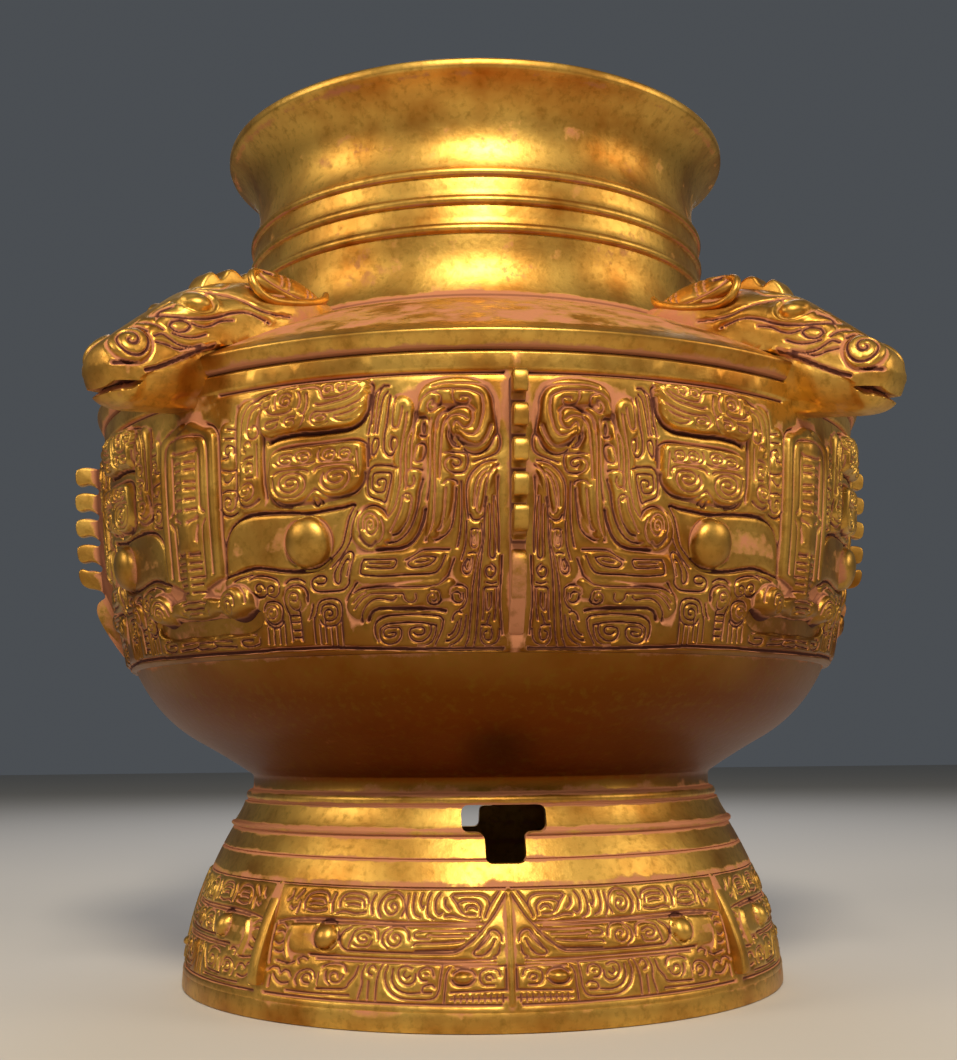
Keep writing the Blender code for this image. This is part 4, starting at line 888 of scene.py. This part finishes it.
maskWide = """
119,9 121,8.7 123,9.5 126.4,10.2 | 121,38.3 123,38 125.2,38.2 | 14.3,80.4 15.5,81.7 17.2,82.3 20,82 23,80.9
25,79.5 26.2,77.5 26.6,75 | 8.4,75.4 9.1,73.2 10.1,71 11.7,69.2 13.5,68.6 15.9,69.3 17.7,70.5 19.1,72.3 |
30.9,48 31.8,43.9 33.6,39.8 35.9,37.1 38.6,35.7 41.8,35.2 45.4,35.2 48.2,35.4 | 24.8,14.4 27.9,15 33.1,15.3
38.1,15.6 42.2,15.5 45.6,15.6 48.9,15.3 51.2,14 52.6,11.9 | 47.8,37.6 49.7,36.2 51.8,37.2 53.5,39.4 |
92,54.6 94.2,53.2 97.7,52.6 100.7,54 101.7,57
"""

# the eye's frame and the foot of the wing are cut deeper
maskDeep = """
49.4,87.3 49.7,84.5 50.3,81.8 51.4,79.4 53.4,77.6 56,76.5 58.5,76 63.5,75.9 69.4,75.6 73.7,76 79.2,75.8
83.6,75.3 87,74.2 | 55.6,50.4 56.6,50.7 59.4,50 66,49.3 71.3,48.7 75.3,48.8 79.5,49.3 85.7,49.7 92.8,49.9
98.4,49.5 102.6,48.4 105.8,46.3 107.9,43.7 109.4,40.3 110,35.3 110.3,30.5 | 65.4,32.6 68.9,30.4 72.4,29.4
77.5,29.2 84,29.7 90.5,30.7 95.6,31.4 100.9,31 105.4,29.8 110.3,28.9 | 4.7,1.9 15.7,1.9 27,1.9 40,2.2 55,2.7
70,3.3 80,3.2 90,3.3 98,3 110,2.8 118,2.9 126.4,2.9
"""

# the open mouth: cut so deep that its earth value paints it dark as shadow
maskMouth = """
98.5,14.2 101,13 104,12.4 109,12.2 114,12.4 118,12.4 122,12.2 126.4,12.2
"""


def addForms(field, forms):
    for bar in forms["bars"]:
        swell(field, *bar)
    for plate in forms["plates"]:
        plateau(field, *plate)
    for boss in forms["mounds"]:
        mound(field, *boss)


def maskField():
    s = maskSize
    field = newField(s)
    addForms(field, maskForms)
    carve(field, maskThin, s["half"], s["line"])
    carve(field, maskWide, s["wideHalf"], s["wideLine"])
    carve(field, maskDeep, s["deepHalf"], s["deepLine"])
    carve(field, maskMouth, s["mouthHalf"], s["mouthLine"])
    settleField(field, s)
    x, y = field["across"][None, :], field["up"][:, None]
    eyeball(field, maskEye, (y < 50) & (x > 61))
    # more earth beside the flange and low down, less on the raised forms and the plain band over the frieze
    band = smoothstep(y, s["band"], s["band"] + 1)
    field["earthAndShade"] += 0.3 * (1 - smoothstep(x, 3.6, 5.6)) + 0.17 * (1 - smoothstep(y, 2, 60))
    field["earthAndShade"] -= 0.2 * band + 0.12 * smoothstep(field["rise"], 1.0, 2.0)
    field["high"] += s["bandRise"] * band - s["lowEase"] * (1 - smoothstep(y, 0.5, 2.2))
    field["high"] -= s["topEase"] * smoothstep(y, 100.4, 101.6)
    return field


maskPanels = fourPieces("maskPanel", panelMesh("maskPanel", maskField(), maskSize, bellyRadius))


# foot frieze: half a panel, x from the line under the flange and y up the foot, in mm

footSize = dict(wide=95.0, low=1.2, top=43.0, seat=5.0, cell=0.30, triangles=19000, skirt=2.6, line=0.7,
                half=0.40, round=0.4, fade=0.7, ground=0.24, base=0.35, lowEase=0.7, topEase=0.5)

# the last bar is the seam between two panels, which stands up a little under the T-shaped hole
footForms = dict(
    bars=[([(4, 24.5), (24, 25.5), (48, 25.6), (62, 25.4)], [5, 7, 8, 8], 0.7, 0.4),
          ([(82.6, 28.2), (84.0, 23.5), (82.9, 19), (81.6, 16.2)], [1.5, 1.9, 1.9, 1.2], 1.7, 0),
          ([(67.6, 13), (67.8, 9.2)], [1.4, 1.4], 1.0, 0),
          ([(0, 5), (0, 41)], [2.0, 2.0], 1.1, 0)],
    plates=[([(62, 29.6), (74, 29.8), (82.5, 28.8), (83.2, 23), (81, 19.6), (72, 19.6), (62, 20.4)], 1.0,
             1.2)],
    mounds=[((16.3, 13.4), (3.1, 1.9), 1.7), ((28.6, 14.2), (2.6, 2.4), 0.8),
            ((40.6, 25.8), (4.4, 3.8), 1.2), ((42, 36.2), (5.2, 4.4), 1.0),
            ((61.4, 12.4), (3.6, 3.2), 0.8)])

footEye = dict(at=(67.0, 25.6), radius=4.3, high=4.0, edge=4.35, ring=5.0, ringHalf=0.5, ringDeep=0.8,
               clean=3.6, worn=3.2)

footThin = """
1,42.2 20,42.2 40,42.2 60,42.3 80,42.4 93.5,42.4 | 3.5,4.6 20,4.6 46,4.7 70,4.7 92,4.8 | 9,30.6 23,30.9
37,30.9 54,31.2 69,31.3 77,31 85,30.2 91,29 | 12,29.7 40,29.9 70,30.2 82,29.6 | 5,19.3 9,18.9 20,18.8 38,19
73,19.1 | 5,18 20,17.7 40,17.8 70,17.9 | 1.2,39.8 3,37 5.4,33.5 8.5,30 11.5,27 15.4,24 19.2,22.3 25.4,22
33,21.7 | 3.4,41 6.8,36.5 8.6,32.6 | 6.9,36.5 7.5,38.6 9.5,39.9 12,40.2 16,40.1 20,40 | 10.4,33.3 10.1,35.8
11.5,37.7 13.8,38.2 16.5,38.2 18.6,37.2 | 11.5,35.4 12.7,36.3 14.6,36.2 15.4,35 | 12.3,33.5 14.2,33.5
16.2,33.8 17.7,35.4 19,37.6 20.6,39.4 | 10.5,31.9 14,31.7 18,32.7 20.4,33.3 23.1,33.1 | 21.4,35 23,36.6
23,38.4 | 25,40.4 26.5,38.1 26.4,35 25.4,33.6 24,34.2 | 28.5,40.4 29.4,38.1 29.6,35 28.8,32.9 26.9,32 |
31.5,40.2 32.2,37.6 31.4,35.6 30.8,36.6 | 34.6,40 34.9,36.3 34,33.6 32,32.6 | 36.9,39.6 37.2,34.4 36.2,32 |
38.9,33 37.8,35.8 38.9,39 41.8,40.7 45,40.2 47.4,37.8 48.1,35 46.8,32.4 | 42.3,35.2 43.1,36.2 42.2,37.2
40.8,36.4 40.8,34.6 42.4,33.4 44.4,34 45.4,36 44.6,38.4 42,39.2 | 49.8,39.6 51,37 50.2,33.4 | 52.2,37
53.4,39 57,40 61.6,39.7 63.9,37.6 63.8,35.2 | 53.8,35.6 54.6,37.6 58,38.3 62,37.9 | 55.5,36 58,36.5
60.6,36.2 | 53,33.9 57,33.3 62,33.9 64.8,33.2 | 66.4,39.4 67.4,36.6 66.6,33.6 | 68.6,37 70.4,39.4 74,40
78.2,39 80,36.4 79.4,34 | 70.2,36.2 72,37.6 77,37.5 | 71.4,35.8 74.5,36.1 77.5,35.7 | 69.6,34.2 74,33.4
78,33.9 | 81.8,40 83,38.6 84.4,37.2 | 83.8,34.5 85.2,33.7 86.4,34.4 | 86.8,39.6 86.9,37.8 88.4,36.6 |
82.2,36.2 82.8,32.6 | 11,28.6 18,28.3 28,28.3 32,28.1 33.5,27 32.7,25.9 28,25.7 | 14.5,26.9 26,26.8 28,27.2
28.9,26.6 | 16,25.2 25,24.5 32.4,24.3 33.6,23.6 | 9,29.3 13,25.2 17.7,22 21,21.1 30,21 45,21 58.5,21.1 |
35.2,25.4 35.9,28 38.6,29.6 42,29.2 44.8,27 44.9,24.2 43,22.2 | 40.2,25.2 41.1,26 40.6,27 39.2,27 38.2,25.6
39,23.8 41,23.2 42.9,24.4 43.1,26.6 41.6,28.2 | 46.4,25.2 47,27.8 49.2,29 52.6,28.9 55.6,27.8 57,24.5
57.8,22.2 | 49,24.6 50.2,22.8 53.8,22.5 55.9,23.2 | 49.4,26.4 52.4,27.2 54.8,25.8 53.4,24.1 51,24.4
51.4,25.6 52.6,25.6 | 57.5,28.9 60,27.5 61.3,25 60.4,22.6 58.9,21.4 | 86,27.5 88,28.5 90.5,28.2 | 86.5,25.5
88,26 90,25.7 | 86.5,22.4 88.5,21.5 90.5,22 | 85.4,19.6 87.4,18.8 89.8,19.2 | 91.6,28 92,22 91.3,15 |
74,17.4 76,18 78.2,17 77.4,15.9 | 3,25 3.4,27 4.8,28.4 6.8,28.5 8.4,26.5 11.5,22.9 12.7,21 11.5,20.2
8.8,20.7 6.4,23.2 5.4,25.4 | 7,26.9 9,24.5 11.2,22.5 | 3.6,23.6 4.3,20.9 6,19.9 | 1.8,17 5,16.9 10,17
19,16.6 | 1.6,9.4 8,9.1 15,8.8 20.4,8.6 | 1.7,16 1.8,10 | 3.8,14 4.6,15.7 7.7,16.1 10.2,15.1 10.6,12.7
9.2,11 5.8,10.9 | 6,13 7,14.2 8.6,13.7 8.4,12.6 7,12.4 | 12,14 13.4,15.6 17,16 19.6,14.6 | 12.4,12.6 14.5,11
18.4,11 20,12.4 | 3,7.8 3,5.6 | 5,7.8 5,5.6 | 7,7.7 7,5.6 | 9,7.7 9,5.6 | 11,7.6 11,5.6 | 13,7.5 13,5.6 |
15,7.5 15,5.6 | 17,7.4 17,5.6 | 19,7.4 19,5.6 | 2,6.7 20.4,6.5 | 20.6,16.5 21.9,14.2 22.2,10.4 22.6,5.4 |
23.3,16.9 23.9,12.7 24.5,8.8 26.7,6.4 33.8,6.1 38.5,6.8 41.9,9.4 43.3,13.5 42.5,16.6 | 26.3,14 27,16
29.2,16.4 31,15.4 31.3,13.8 30.2,12.5 28.5,12.3 | 28.3,14.2 29.2,14.3 | 25.7,10.2 27,11 29.6,10.3 29.8,8.5
26.8,8.4 | 32.5,14.2 32.9,12 35,10.9 37.5,11.9 38.6,14.2 38,16.1 35.8,16.8 33.8,16.2 | 34.4,13.6 35.6,12.8
36.7,13.8 36.2,15 | 30.8,8.3 35,8 38.6,9.2 40.6,12 40.5,15.8 | 44.3,17.1 45.6,14.2 46.2,10.4 46.2,5.6 |
46.6,15.6 47.6,16.6 49,16.2 49.4,14.2 48,13.5 | 50.4,17.1 51.7,14.2 51.4,10.4 52.6,5.6 | 49,11.4 49.1,5.8 |
53.2,16.2 54.2,13.2 56.5,10.4 58.6,8.5 69,8 | 57.5,14.3 58.5,16.1 61.5,16.8 65,16.3 67,15.4 | 60.3,12
60.8,13.5 62.5,13.8 63.7,12.7 63.3,11.1 61.8,10.5 59.7,10.9 58.5,12.7 | 65.6,13.8 65.4,11.4 64,9.8 | 68.3,13
68.6,9.4 | 56,6.6 70,6.3 82,6.4 | 69.9,11.2 70.8,13.3 73.2,14 77,12.9 78.5,10.4 77.6,8.7 | 71.6,11 72.4,12.3
74.5,12.3 75.6,10.9 74.6,9.7 72.4,9.5 | 80.4,11.2 81.5,12.7 83.8,13 85.4,11.9 86.4,13.4 89.2,13.7 91.3,12.6
| 81.3,9 84.6,8.6 87.2,9.7 88.7,11.2 | 79.6,16.2 83,15.4 88,16 | 90,10.6 90.4,7
"""


def footField():
    s = footSize
    field = newField(s)
    addForms(field, footForms)
    carve(field, footThin, s["half"], s["line"])
    settleField(field, s)
    eyeball(field, footEye)
    y = field["up"][:, None]
    field["high"] += s["base"] - s["lowEase"] * (1 - smoothstep(y, 1.2, 2.2))
    field["high"] -= s["topEase"] * smoothstep(y, 42.4, 43.0)
    return field


footPanels = fourPieces("footPanel", panelMesh("footPanel", footField(), footSize, footRadius))


# hooked flanges between the masks

flangeSize = dict(thick=5.0, top=218.6, pitch=11.4, teeth=5, bevel=0.7, root=3.5, rootTop=219.0, low=133.6)

# how far each point stands out from the wall and how far it lies under its tooth's top
toothHook = [(6.2, -0.4), (8.6, 0.15), (12.0, 0.35), (14.6, -0.4), (15.6, -2.0), (15.7, -4.2), (15.2, -6.6),
             (14.0, -7.7), (12.2, -7.6), (10.2, -7.1), (8.4, -7.5), (6.8, -8.6), (5.5, -10.0)]
lastHook = [(6.2, -0.4), (8.6, 0.1), (11.6, 0.2), (13.6, 0.9), (15.0, 0.6), (15.8, -1.0), (15.6, -3.6),
            (14.6, -6.0), (12.6, -7.4), (9.6, -7.9), (7.2, -8.8), (5.8, -10.4)]
# the spur under the last tooth: distance from the wall and height
spur = [(5.8, 161.0), (7.2, 160.2), (9.0, 158.6), (9.9, 156.0), (9.6, 152.6), (8.2, 148.4), (6.2, 144.0),
        (4.0, 139.6), (2.0, 136.0), (0.4, 133.6)]


def standingPlate(outline, thick, bevel, steps=2):
    mesh = plateMesh(outline, thick, bevel, steps)
    mesh.transform(frontUp)
    return mesh


def wallPlate(edge, step, root, size, radiusAt):
    # a plate whose edge is given off the wall, with its root inside the wall
    outline = [tuple(p) for p in smoothLine([(float(radiusAt(z)) + out, z) for out, z in edge], step)]
    outline += [(float(radiusAt(z)) - deep, z) for deep, z in root]
    mesh = welded(standingPlate(outline, size["thick"], size["bevel"]), 0.005)
    spots = getSpots(mesh) / mm
    return mesh, np.hypot(spots[:, 0], spots[:, 1]) - radiusAt(spots[:, 2]), spots[:, 2]


def flangeMesh():
    s = flangeSize
    edge = []
    for k in range(s["teeth"]):
        hook = lastHook if k == s["teeth"] - 1 else toothHook
        edge += [(out, s["top"] - k * s["pitch"] + drop) for out, drop in hook]
    root = [(s["root"], s["low"]), (s["root"], s["rootTop"])]
    mesh, out, z = wallPlate(edge + spur, 0.9, root, s, bellyRadius)
    # earth fills the gaps between the hooks, painted dark as shadow in the upper gaps, and the tips are
    # bright
    gap = np.where(z > 162, 0.95, 0.62)
    earthAndShade = np.where(out > 12.5, 0.0, np.where(out > 6.4, 0.28, gap))
    return setLook(mesh, earthAndShade, smoothstep(out, 11.0, 14.0))


flanges = fourPieces("hookedFlange", flangeMesh())


# upright ridges on the foot, under the heads

ridgeSize = dict(thick=4.8, bevel=0.9, turn=45.0)
ridgeEdge = [(0.2, 47.0), (1.0, 43.0), (2.4, 36.0), (3.6, 28.0), (4.4, 21.0), (4.6, 16.0), (4.2, 13.2),
             (3.0, 12.2), (0.4, 12.0)]


def ridgeMesh():
    mesh, out, _ = wallPlate(ridgeEdge, 1.2, [(4.5, 12.0), (3.0, 47.0)], ridgeSize, footRadius)
    return setLook(mesh, np.where(out > 1.2, 0.05, 0.5), smoothstep(out, 1.0, 2.4))


ridges = fourPieces("footRidge", ridgeMesh(), ridgeSize["turn"])


# horned heads on the shoulder, in mm: r is the reach from the jar's axis, z the height and x half the width

headSize = dict(along=250, around=200, triangles=13000, turn=44.2, back=97, nose=201.2, crowd=1.35,
                brow=0.86, crown=0.9, chin=0.7, line=0.75, half=0.55, wideLine=1.0, wideHalf=0.8,
                topLine=0.55, topHalf=0.5)

# r,z of the crest, the underside, the lip and the open mouth, and r,x of the half width
headLines = dict(
    top="""97,267 104,270.5 117,273 130,272.5 142,270.8 150,269 156,267 165,262.8 172,257.6 181,250.6
    188,244.9 193,240.8 197,237.6 199.5,235 200.8,232 201.2,228""",
    low="""97,254 110,249 125,243 140,237 150,222 158,218.5 170,216.6 184,214.8 189,214.6 193,215.2
    195.6,216.6 197.2,218.6 198.6,220.6 200,223.4 201.2,227""",
    wide="""97,12 104,18.5 112,22 122,24 134,23.6 146,21.6 158,18.8 170,16.4 180,14.6 188,13.4 193,12.4
    197,11 199.5,8.6 200.8,5.5 201.2,1.5""",
    lip="150,241.5 163,239 172.7,233.8 179.6,229.8 184.6,227.2 190,223.5",
    gapTop="188.5,222.2 196,221.4 204,220.6", gapLow="188.5,222 192.5,218.8 195.5,218.2 204,218.2")

headFace = dict(eye=(167.3, 255.4), eyeLong=4.6, eyeTall=3.7, eyeHigh=2.9, nostril=(192.9, 235.3),
                nostrilOut=9.5, coil=3.3, coilHalf=0.55, coilDeep=0.95, boss=7.4, bossHigh=1.9, ring=7.8,
                ringHalf=0.6, ringDeep=0.8, ear="178,250.4 168,251.5 158,254.6 150,256.2 142,253.4",
                earHalf=3.4, earHigh=0.8, mouthDeep=5.5)

headThin = """
180.7,249 177.9,252.4 172.9,257.6 167.8,260.6 163.3,261.3 158,260.6 153,259.6 149.5,257.7 145,255.4
139.5,255 132.5,255.5 | 182.9,248.6 179.4,248.2 175.4,248.1 167.5,248.6 161.8,250.1 156.3,252.6 150.3,254
145.6,252.6 141.8,251.2 | 178.9,244.1 177.5,246.2 174,247 171.6,245.5 173.5,243 176.9,242.4 178.9,244.1 |
170.6,246.3 167.8,245.6 164.1,246.6 160.3,249 155.5,250.2 | 184.7,239.5 182.1,240.6 179.5,239 176.4,237.4
171.9,237.1 168,238.6 | 184.5,237.1 180.7,236.6 177.2,235.6 172.9,236 | 178.2,241.3 173.8,240.6 169.5,241.3
166,242.9 | 186.9,245.6 183.5,244.4 181.4,242.4 | 188.6,243.4 186.6,241.6 | 175.4,252.4 179.6,250 |
145.1,266.6 144,264.2 140.4,262.9 132.4,263.9 121.8,266.6 110.5,271.4 | 143.2,268.4 142.6,266.4 140,265.2
132.4,266.2 122.6,268.8 113,272.6 | 136,270.4 136,266.4 | 126,271.6 126,268 | 117,273.4 117,270.8
"""

headWide = """
187.3,236.4 188.6,233.2 190.8,230.1 194.5,227.9 198.8,227.2 | 163,239.4 168,237 172.7,234.2 179.6,230.2
184.6,227.6 188.5,226
"""

# lines on the top of the snout: reach and distance from the middle
headTop = """
163,4 168,5.4 173,5.2 178,4.2 182,5 | 166,8.4 171,9.6 176,8.6 | 160,11 165,12.6 170,12.8 175,11.6 | 185,3.2
189,4.6 192,3.6 | 181,8.4 184,10.4 188,9.6 | 150,9.6 155,11.4 160,8.6 163,6.6 | 146,7 150,8.2 154,7
"""


def curveOf(text):
    pts = smoothLine(lines(text)[0], 1.0)
    return lambda at: np.interp(at, pts[:, 0], pts[:, 1])


def gapTo(x, y, text):
    # distance of many points from all lines of a text
    best = np.full(x.shape, 99.0)
    for row in lines(text):
        path = smoothLine(row, 1.0)
        for a, b in zip(path, path[1:]):
            np.minimum(best, toSegment(x, y, a, b)[0], out=best)
    return best


def eyeShape(x, r, z):
    f = headFace
    eye = np.hypot((r - f["eye"][0]) / f["eyeLong"], (z - f["eye"][1]) / f["eyeTall"])
    facing = smoothstep(x, 6, 9)
    dome = f["eyeHigh"] * np.sqrt(np.clip(1 - eye ** 2, 0, 1)) * facing
    lid = (0.55 * np.exp(-((eye - 1.55) / 0.22) ** 2) - 0.75 * np.exp(-((eye - 1.2) / 0.16) ** 2)) * facing
    return eye, dome, lid, facing


def nostrilShape(x, r, z):
    # a boss with a spiral groove in a sunk ring
    f = headFace
    ahead, above, out = r - f["nostril"][0], z - f["nostril"][1], x - f["nostrilOut"]
    gap = np.sqrt(ahead ** 2 + (above ** 2 + out ** 2) * 0.85)
    turn = np.arctan2(above * 0.76 - out * 0.65, ahead) / (2 * pi)
    coil = np.abs((gap / f["coil"] + turn + 0.15) % 1 - 0.5) * f["coil"]
    boss = f["bossHigh"] * np.clip(1 - (gap / f["boss"]) ** 2, 0, 1) ** 0.6
    cut = f["coilDeep"] * np.exp(-(coil / f["coilHalf"]) ** 4) * (gap < 6.5) * (gap > 0.9)
    ring = f["ringDeep"] * np.exp(-((gap - f["ring"]) / f["ringHalf"]) ** 2)
    return gap, boss, cut, ring


def headDetail(body, normal):
    # how far the smooth head is pushed out, with its earth, painted shade and wear
    s, f = headSize, headFace
    x, r, z = body[..., 0], -body[..., 1], body[..., 2]
    lip, gapTop, gapLow = (curveOf(headLines[key])(r) for key in ("lip", "gapTop", "gapLow"))
    side = smoothstep(np.abs(normal[..., 0]), 0.15, 0.45)
    above = smoothstep(normal[..., 2], 0.45, 0.75)
    near, wideGap = gapTo(r, z, headThin), gapTo(r, z, headWide)
    cut = s["line"] * groove(near, s["half"]) * side
    cut = np.maximum(cut, s["wideLine"] * groove(wideGap, s["wideHalf"]) * side)
    cut = np.maximum(cut, s["topLine"] * groove(gapTo(r, x, headTop), s["topHalf"]) * above)
    leaf = np.clip(1 - gapTo(r, z, f["ear"]) / f["earHalf"], 0, 1)
    eye, dome, lid, facing = eyeShape(x, r, z)
    nostril, boss, coilCut, ring = nostrilShape(x, r, z)
    cut = np.where(eye < 1.3, 0, cut)
    cut = np.where(nostril < 7.0, coilCut, cut)
    # the jaw lies back under the lip, and the mouth opens at the front
    jaw = smoothstep(lip - z, 0, 0.8) * smoothstep(r, 191, 187)
    back = jaw * (1.0 + 2.4 * smoothstep(r, 176, 166)) * side
    mouth = smoothstep(gapTop - z, 0, 0.5) * smoothstep(z - gapLow, 0, 0.5)
    mouth *= smoothstep(r, 188.5, 190) * smoothstep(r, 198.2, 197.2)
    soft = 0.25 * np.exp(-np.minimum(near, wideGap)) * side
    push = f["earHigh"] * np.sqrt(leaf) * side + dome + lid + boss - ring * (1 - above * 0.4)
    push -= cut + soft + back + f["mouthDeep"] * mouth
    push += 0.5 * smoothstep(wideGap, 2.6, 0.8) * side * (1 - jaw)
    # painted shade: faces turned downwards get more earth colour
    under = smoothstep(-normal[..., 2], 0.2, 0.9)
    earthAndShade = cut / 0.85 + 0.3 * np.exp(-np.minimum(near, wideGap) / 2.2) * side + ring * 0.8 + 0.12 * under
    # the open mouth gets full earth, painted dark as shadow
    earthAndShade += 0.05 * jaw + mouth + 0.6 * np.clip(-lid, 0, 1)
    earthAndShade = np.maximum(earthAndShade, 0.42 * smoothstep(r, 150, 120) * smoothstep(268, 240, z))
    worn = np.where(eye < 0.95, 0.6, 0) * facing + np.clip(boss / 2.6, 0, 0.5) * (cut < 0.2) + 0.35 * leaf
    return push, earthAndShade, worn


def skullHalf():
    # a grid from the crest round one side to the middle of the underside, set closer towards the nose
    s = headSize
    mesh, i, j = gridMesh("skull", s["along"], s["around"])
    share = 1 - (1 - np.linspace(0, 1, s["along"] + 1)) ** s["crowd"]
    r = (s["back"] + (s["nose"] - s["back"]) * share)[:, None]
    a = np.linspace(0, pi, s["around"] + 1)[None, :]
    t, b, w = (curveOf(headLines[key])(r) for key in ("top", "low", "wide"))
    middle = b + (t - b) / 2
    c = np.cos(a)
    z = middle + np.where(c > 0, (t - middle) * np.abs(c) ** s["crown"],
                          (b - middle) * np.abs(c) ** s["chin"])
    x = w * np.where(c > 0, np.sin(a) ** s["brow"], np.sin(a) ** s["chin"])
    body = np.stack([x, -r * np.ones_like(a), z], -1)
    normal = np.cross(np.gradient(body, axis=0), np.gradient(body, axis=1))
    normal /= np.maximum(np.linalg.norm(normal, axis=-1, keepdims=True), 1e-9)
    outwards = np.stack([x, 0 * x, z - middle], -1)
    flip = np.sign((normal * outwards).sum(-1, keepdims=True))
    normal *= np.where(flip == 0, 1, flip)
    push, earthAndShade, worn = headDetail(body, normal)
    body = body + normal * push[..., None]
    body[:, (0, -1), 0] = 0
    setSpots(mesh, body[i, j] * mm)
    setLook(mesh, earthAndShade[i, j], worn[i, j])
    return thinned(mesh, "skull", s["triangles"] / (2 * s["along"] * s["around"]))


def wholeSkull():
    bm = bmesh.new()
    bm.from_mesh(skullHalf())
    bmesh.ops.mirror(bm, geom=bm.verts[:] + bm.edges[:] + bm.faces[:], matrix=Matrix(),
                     merge_dist=0.03 * mm, axis="X")
    bmesh.ops.remove_doubles(bm, verts=bm.verts, dist=0.01 * mm)
    bmesh.ops.holes_fill(bm, edges=[e for e in bm.edges if len(e.link_faces) == 1], sides=0)
    bmesh.ops.recalc_face_normals(bm, faces=bm.faces)
    bmesh.ops.triangulate(bm, faces=[f for f in bm.faces if len(f.verts) > 3])
    return toMesh(bm, "skull")


# the comb's edge as r and z; the horn's curl as x, y, z and radius
combSize = dict(thick=9.4, bevel=1.5, earthAndShade=0.12, worn=0.35)
combEdge = [(160, 260), (159.4, 265.4), (157.4, 269.6), (154.6, 272.2), (152.2, 271.8), (150.4, 270.8),
            (148.6, 272.4), (146.8, 275.0), (144.2, 275.8), (141.6, 275.0), (140, 274.0), (138.2, 275.6),
            (135.6, 277.0), (132.8, 276.8), (130.8, 275.2), (128.6, 275.2), (126.2, 275.6), (123.6, 272),
            (123, 262)]
hornCurl = [(15.5, -107.5, 272, 1.2), (18.5, -111, 268.6, 1.6), (21, -117, 265.4, 1.7),
            (22.6, -125, 262.8, 1.7), (22.4, -134, 261, 1.7), (21.6, -140.5, 260.8, 1.7),
            (21.2, -145.4, 262.6, 1.6), (20.2, -147.6, 266, 1.6), (18.6, -147.2, 269.4, 1.6),
            (17.0, -144.6, 271.6, 1.5), (15.4, -140, 272.4, 1.0)]
padSize = dict(at=(15.6, -127.5, 268.2), lean=38, tilt=-7, long=19.0, tall=7.6, high=4.8, cut=0.75,
               bars=(0.12, 0.3, -0.38, -0.52, -0.66))


def combPlate():
    outline = smoothLine(combEdge + combEdge[:1], 0.8)[:-1]
    comb = standingPlate(outline, combSize["thick"], combSize["bevel"], 3)
    return setLook(comb, combSize["earthAndShade"], combSize["worn"])


def hornTube(sign):
    # a round bar along a path with swelling radius, closed by round ends
    curve = bpy.data.curves.new("horn", "CURVE")
    curve.dimensions = "3D"
    curve.bevel_depth = 1.0 * mm
    curve.bevel_resolution = 5
    curve.use_fill_caps = True
    rows = smoothLine([(sign * x, y, z, radius) for x, y, z, radius in hornCurl], 1.0)
    spline = curve.splines.new("POLY")
    spline.points.add(len(rows) - 1)
    for point, (x, y, z, radius) in zip(spline.points, rows):
        point.co = (x * mm, y * mm, z * mm, 1)
        point.radius = radius
    mesh = bakedMesh(addObject("horn", curve), "horn")
    bpy.data.curves.remove(curve)
    return setLook(mesh, 0.15, 0.45)


def hornPad(sign):
    # the flat of the horn inside its curl: a lens with grooved edge and cross bars
    s = padSize
    bm = bmesh.new()
    bmesh.ops.create_uvsphere(bm, u_segments=64, v_segments=40, radius=1)
    mesh = toMesh(bm, "pad")
    u, v, w = getSpots(mesh).T
    edge = np.hypot(u, v)
    bars = np.min([np.abs(u - at + 0.12 * v) for at in s["bars"]], axis=0)
    cut = np.maximum(np.exp(-((edge - 0.8) / 0.05) ** 2), np.exp(-(bars / 0.035) ** 2) * (edge < 0.76))
    cut = np.maximum(cut, 2.6 * np.clip(1 - np.hypot((u - 0.6) / 0.17, (v - 0.2) / 0.3) ** 2, 0, 1))
    front = w > 0
    placed = np.stack([w * s["high"] - s["cut"] * cut * front, -u * s["long"], v * s["tall"]], -1)
    turned = Matrix.Rotation(radians(s["tilt"]), 4, "X") @ Matrix.Rotation(-radians(s["lean"]), 4, "Y")
    turned = Matrix.Scale(sign, 4, (1, 0, 0)) @ Matrix.Translation(s["at"]) @ turned
    setSpots(mesh, (placed @ np.array(turned.to_3x3()).T + np.array(turned.translation)) * mm)
    return setLook(mesh, np.clip(cut * front, 0, 1), 0.5 * (1 - np.clip(cut, 0, 1)))


def headMesh():
    bm = bmesh.new()
    horns = [make(sign) for sign in (-1, 1) for make in (hornTube, hornPad)]
    for mesh in [wholeSkull(), combPlate()] + horns:
        bm.from_mesh(mesh)
    return welded(toMesh(bm, "head"), 0.004)


heads = fourPieces("hornedHead", headMesh(), headSize["turn"])

jar = [vesselWall] + maskPanels + footPanels + flanges + ridges + heads
print("whole jar", sum(triangleCount(piece.data) for piece in jar), "triangles")
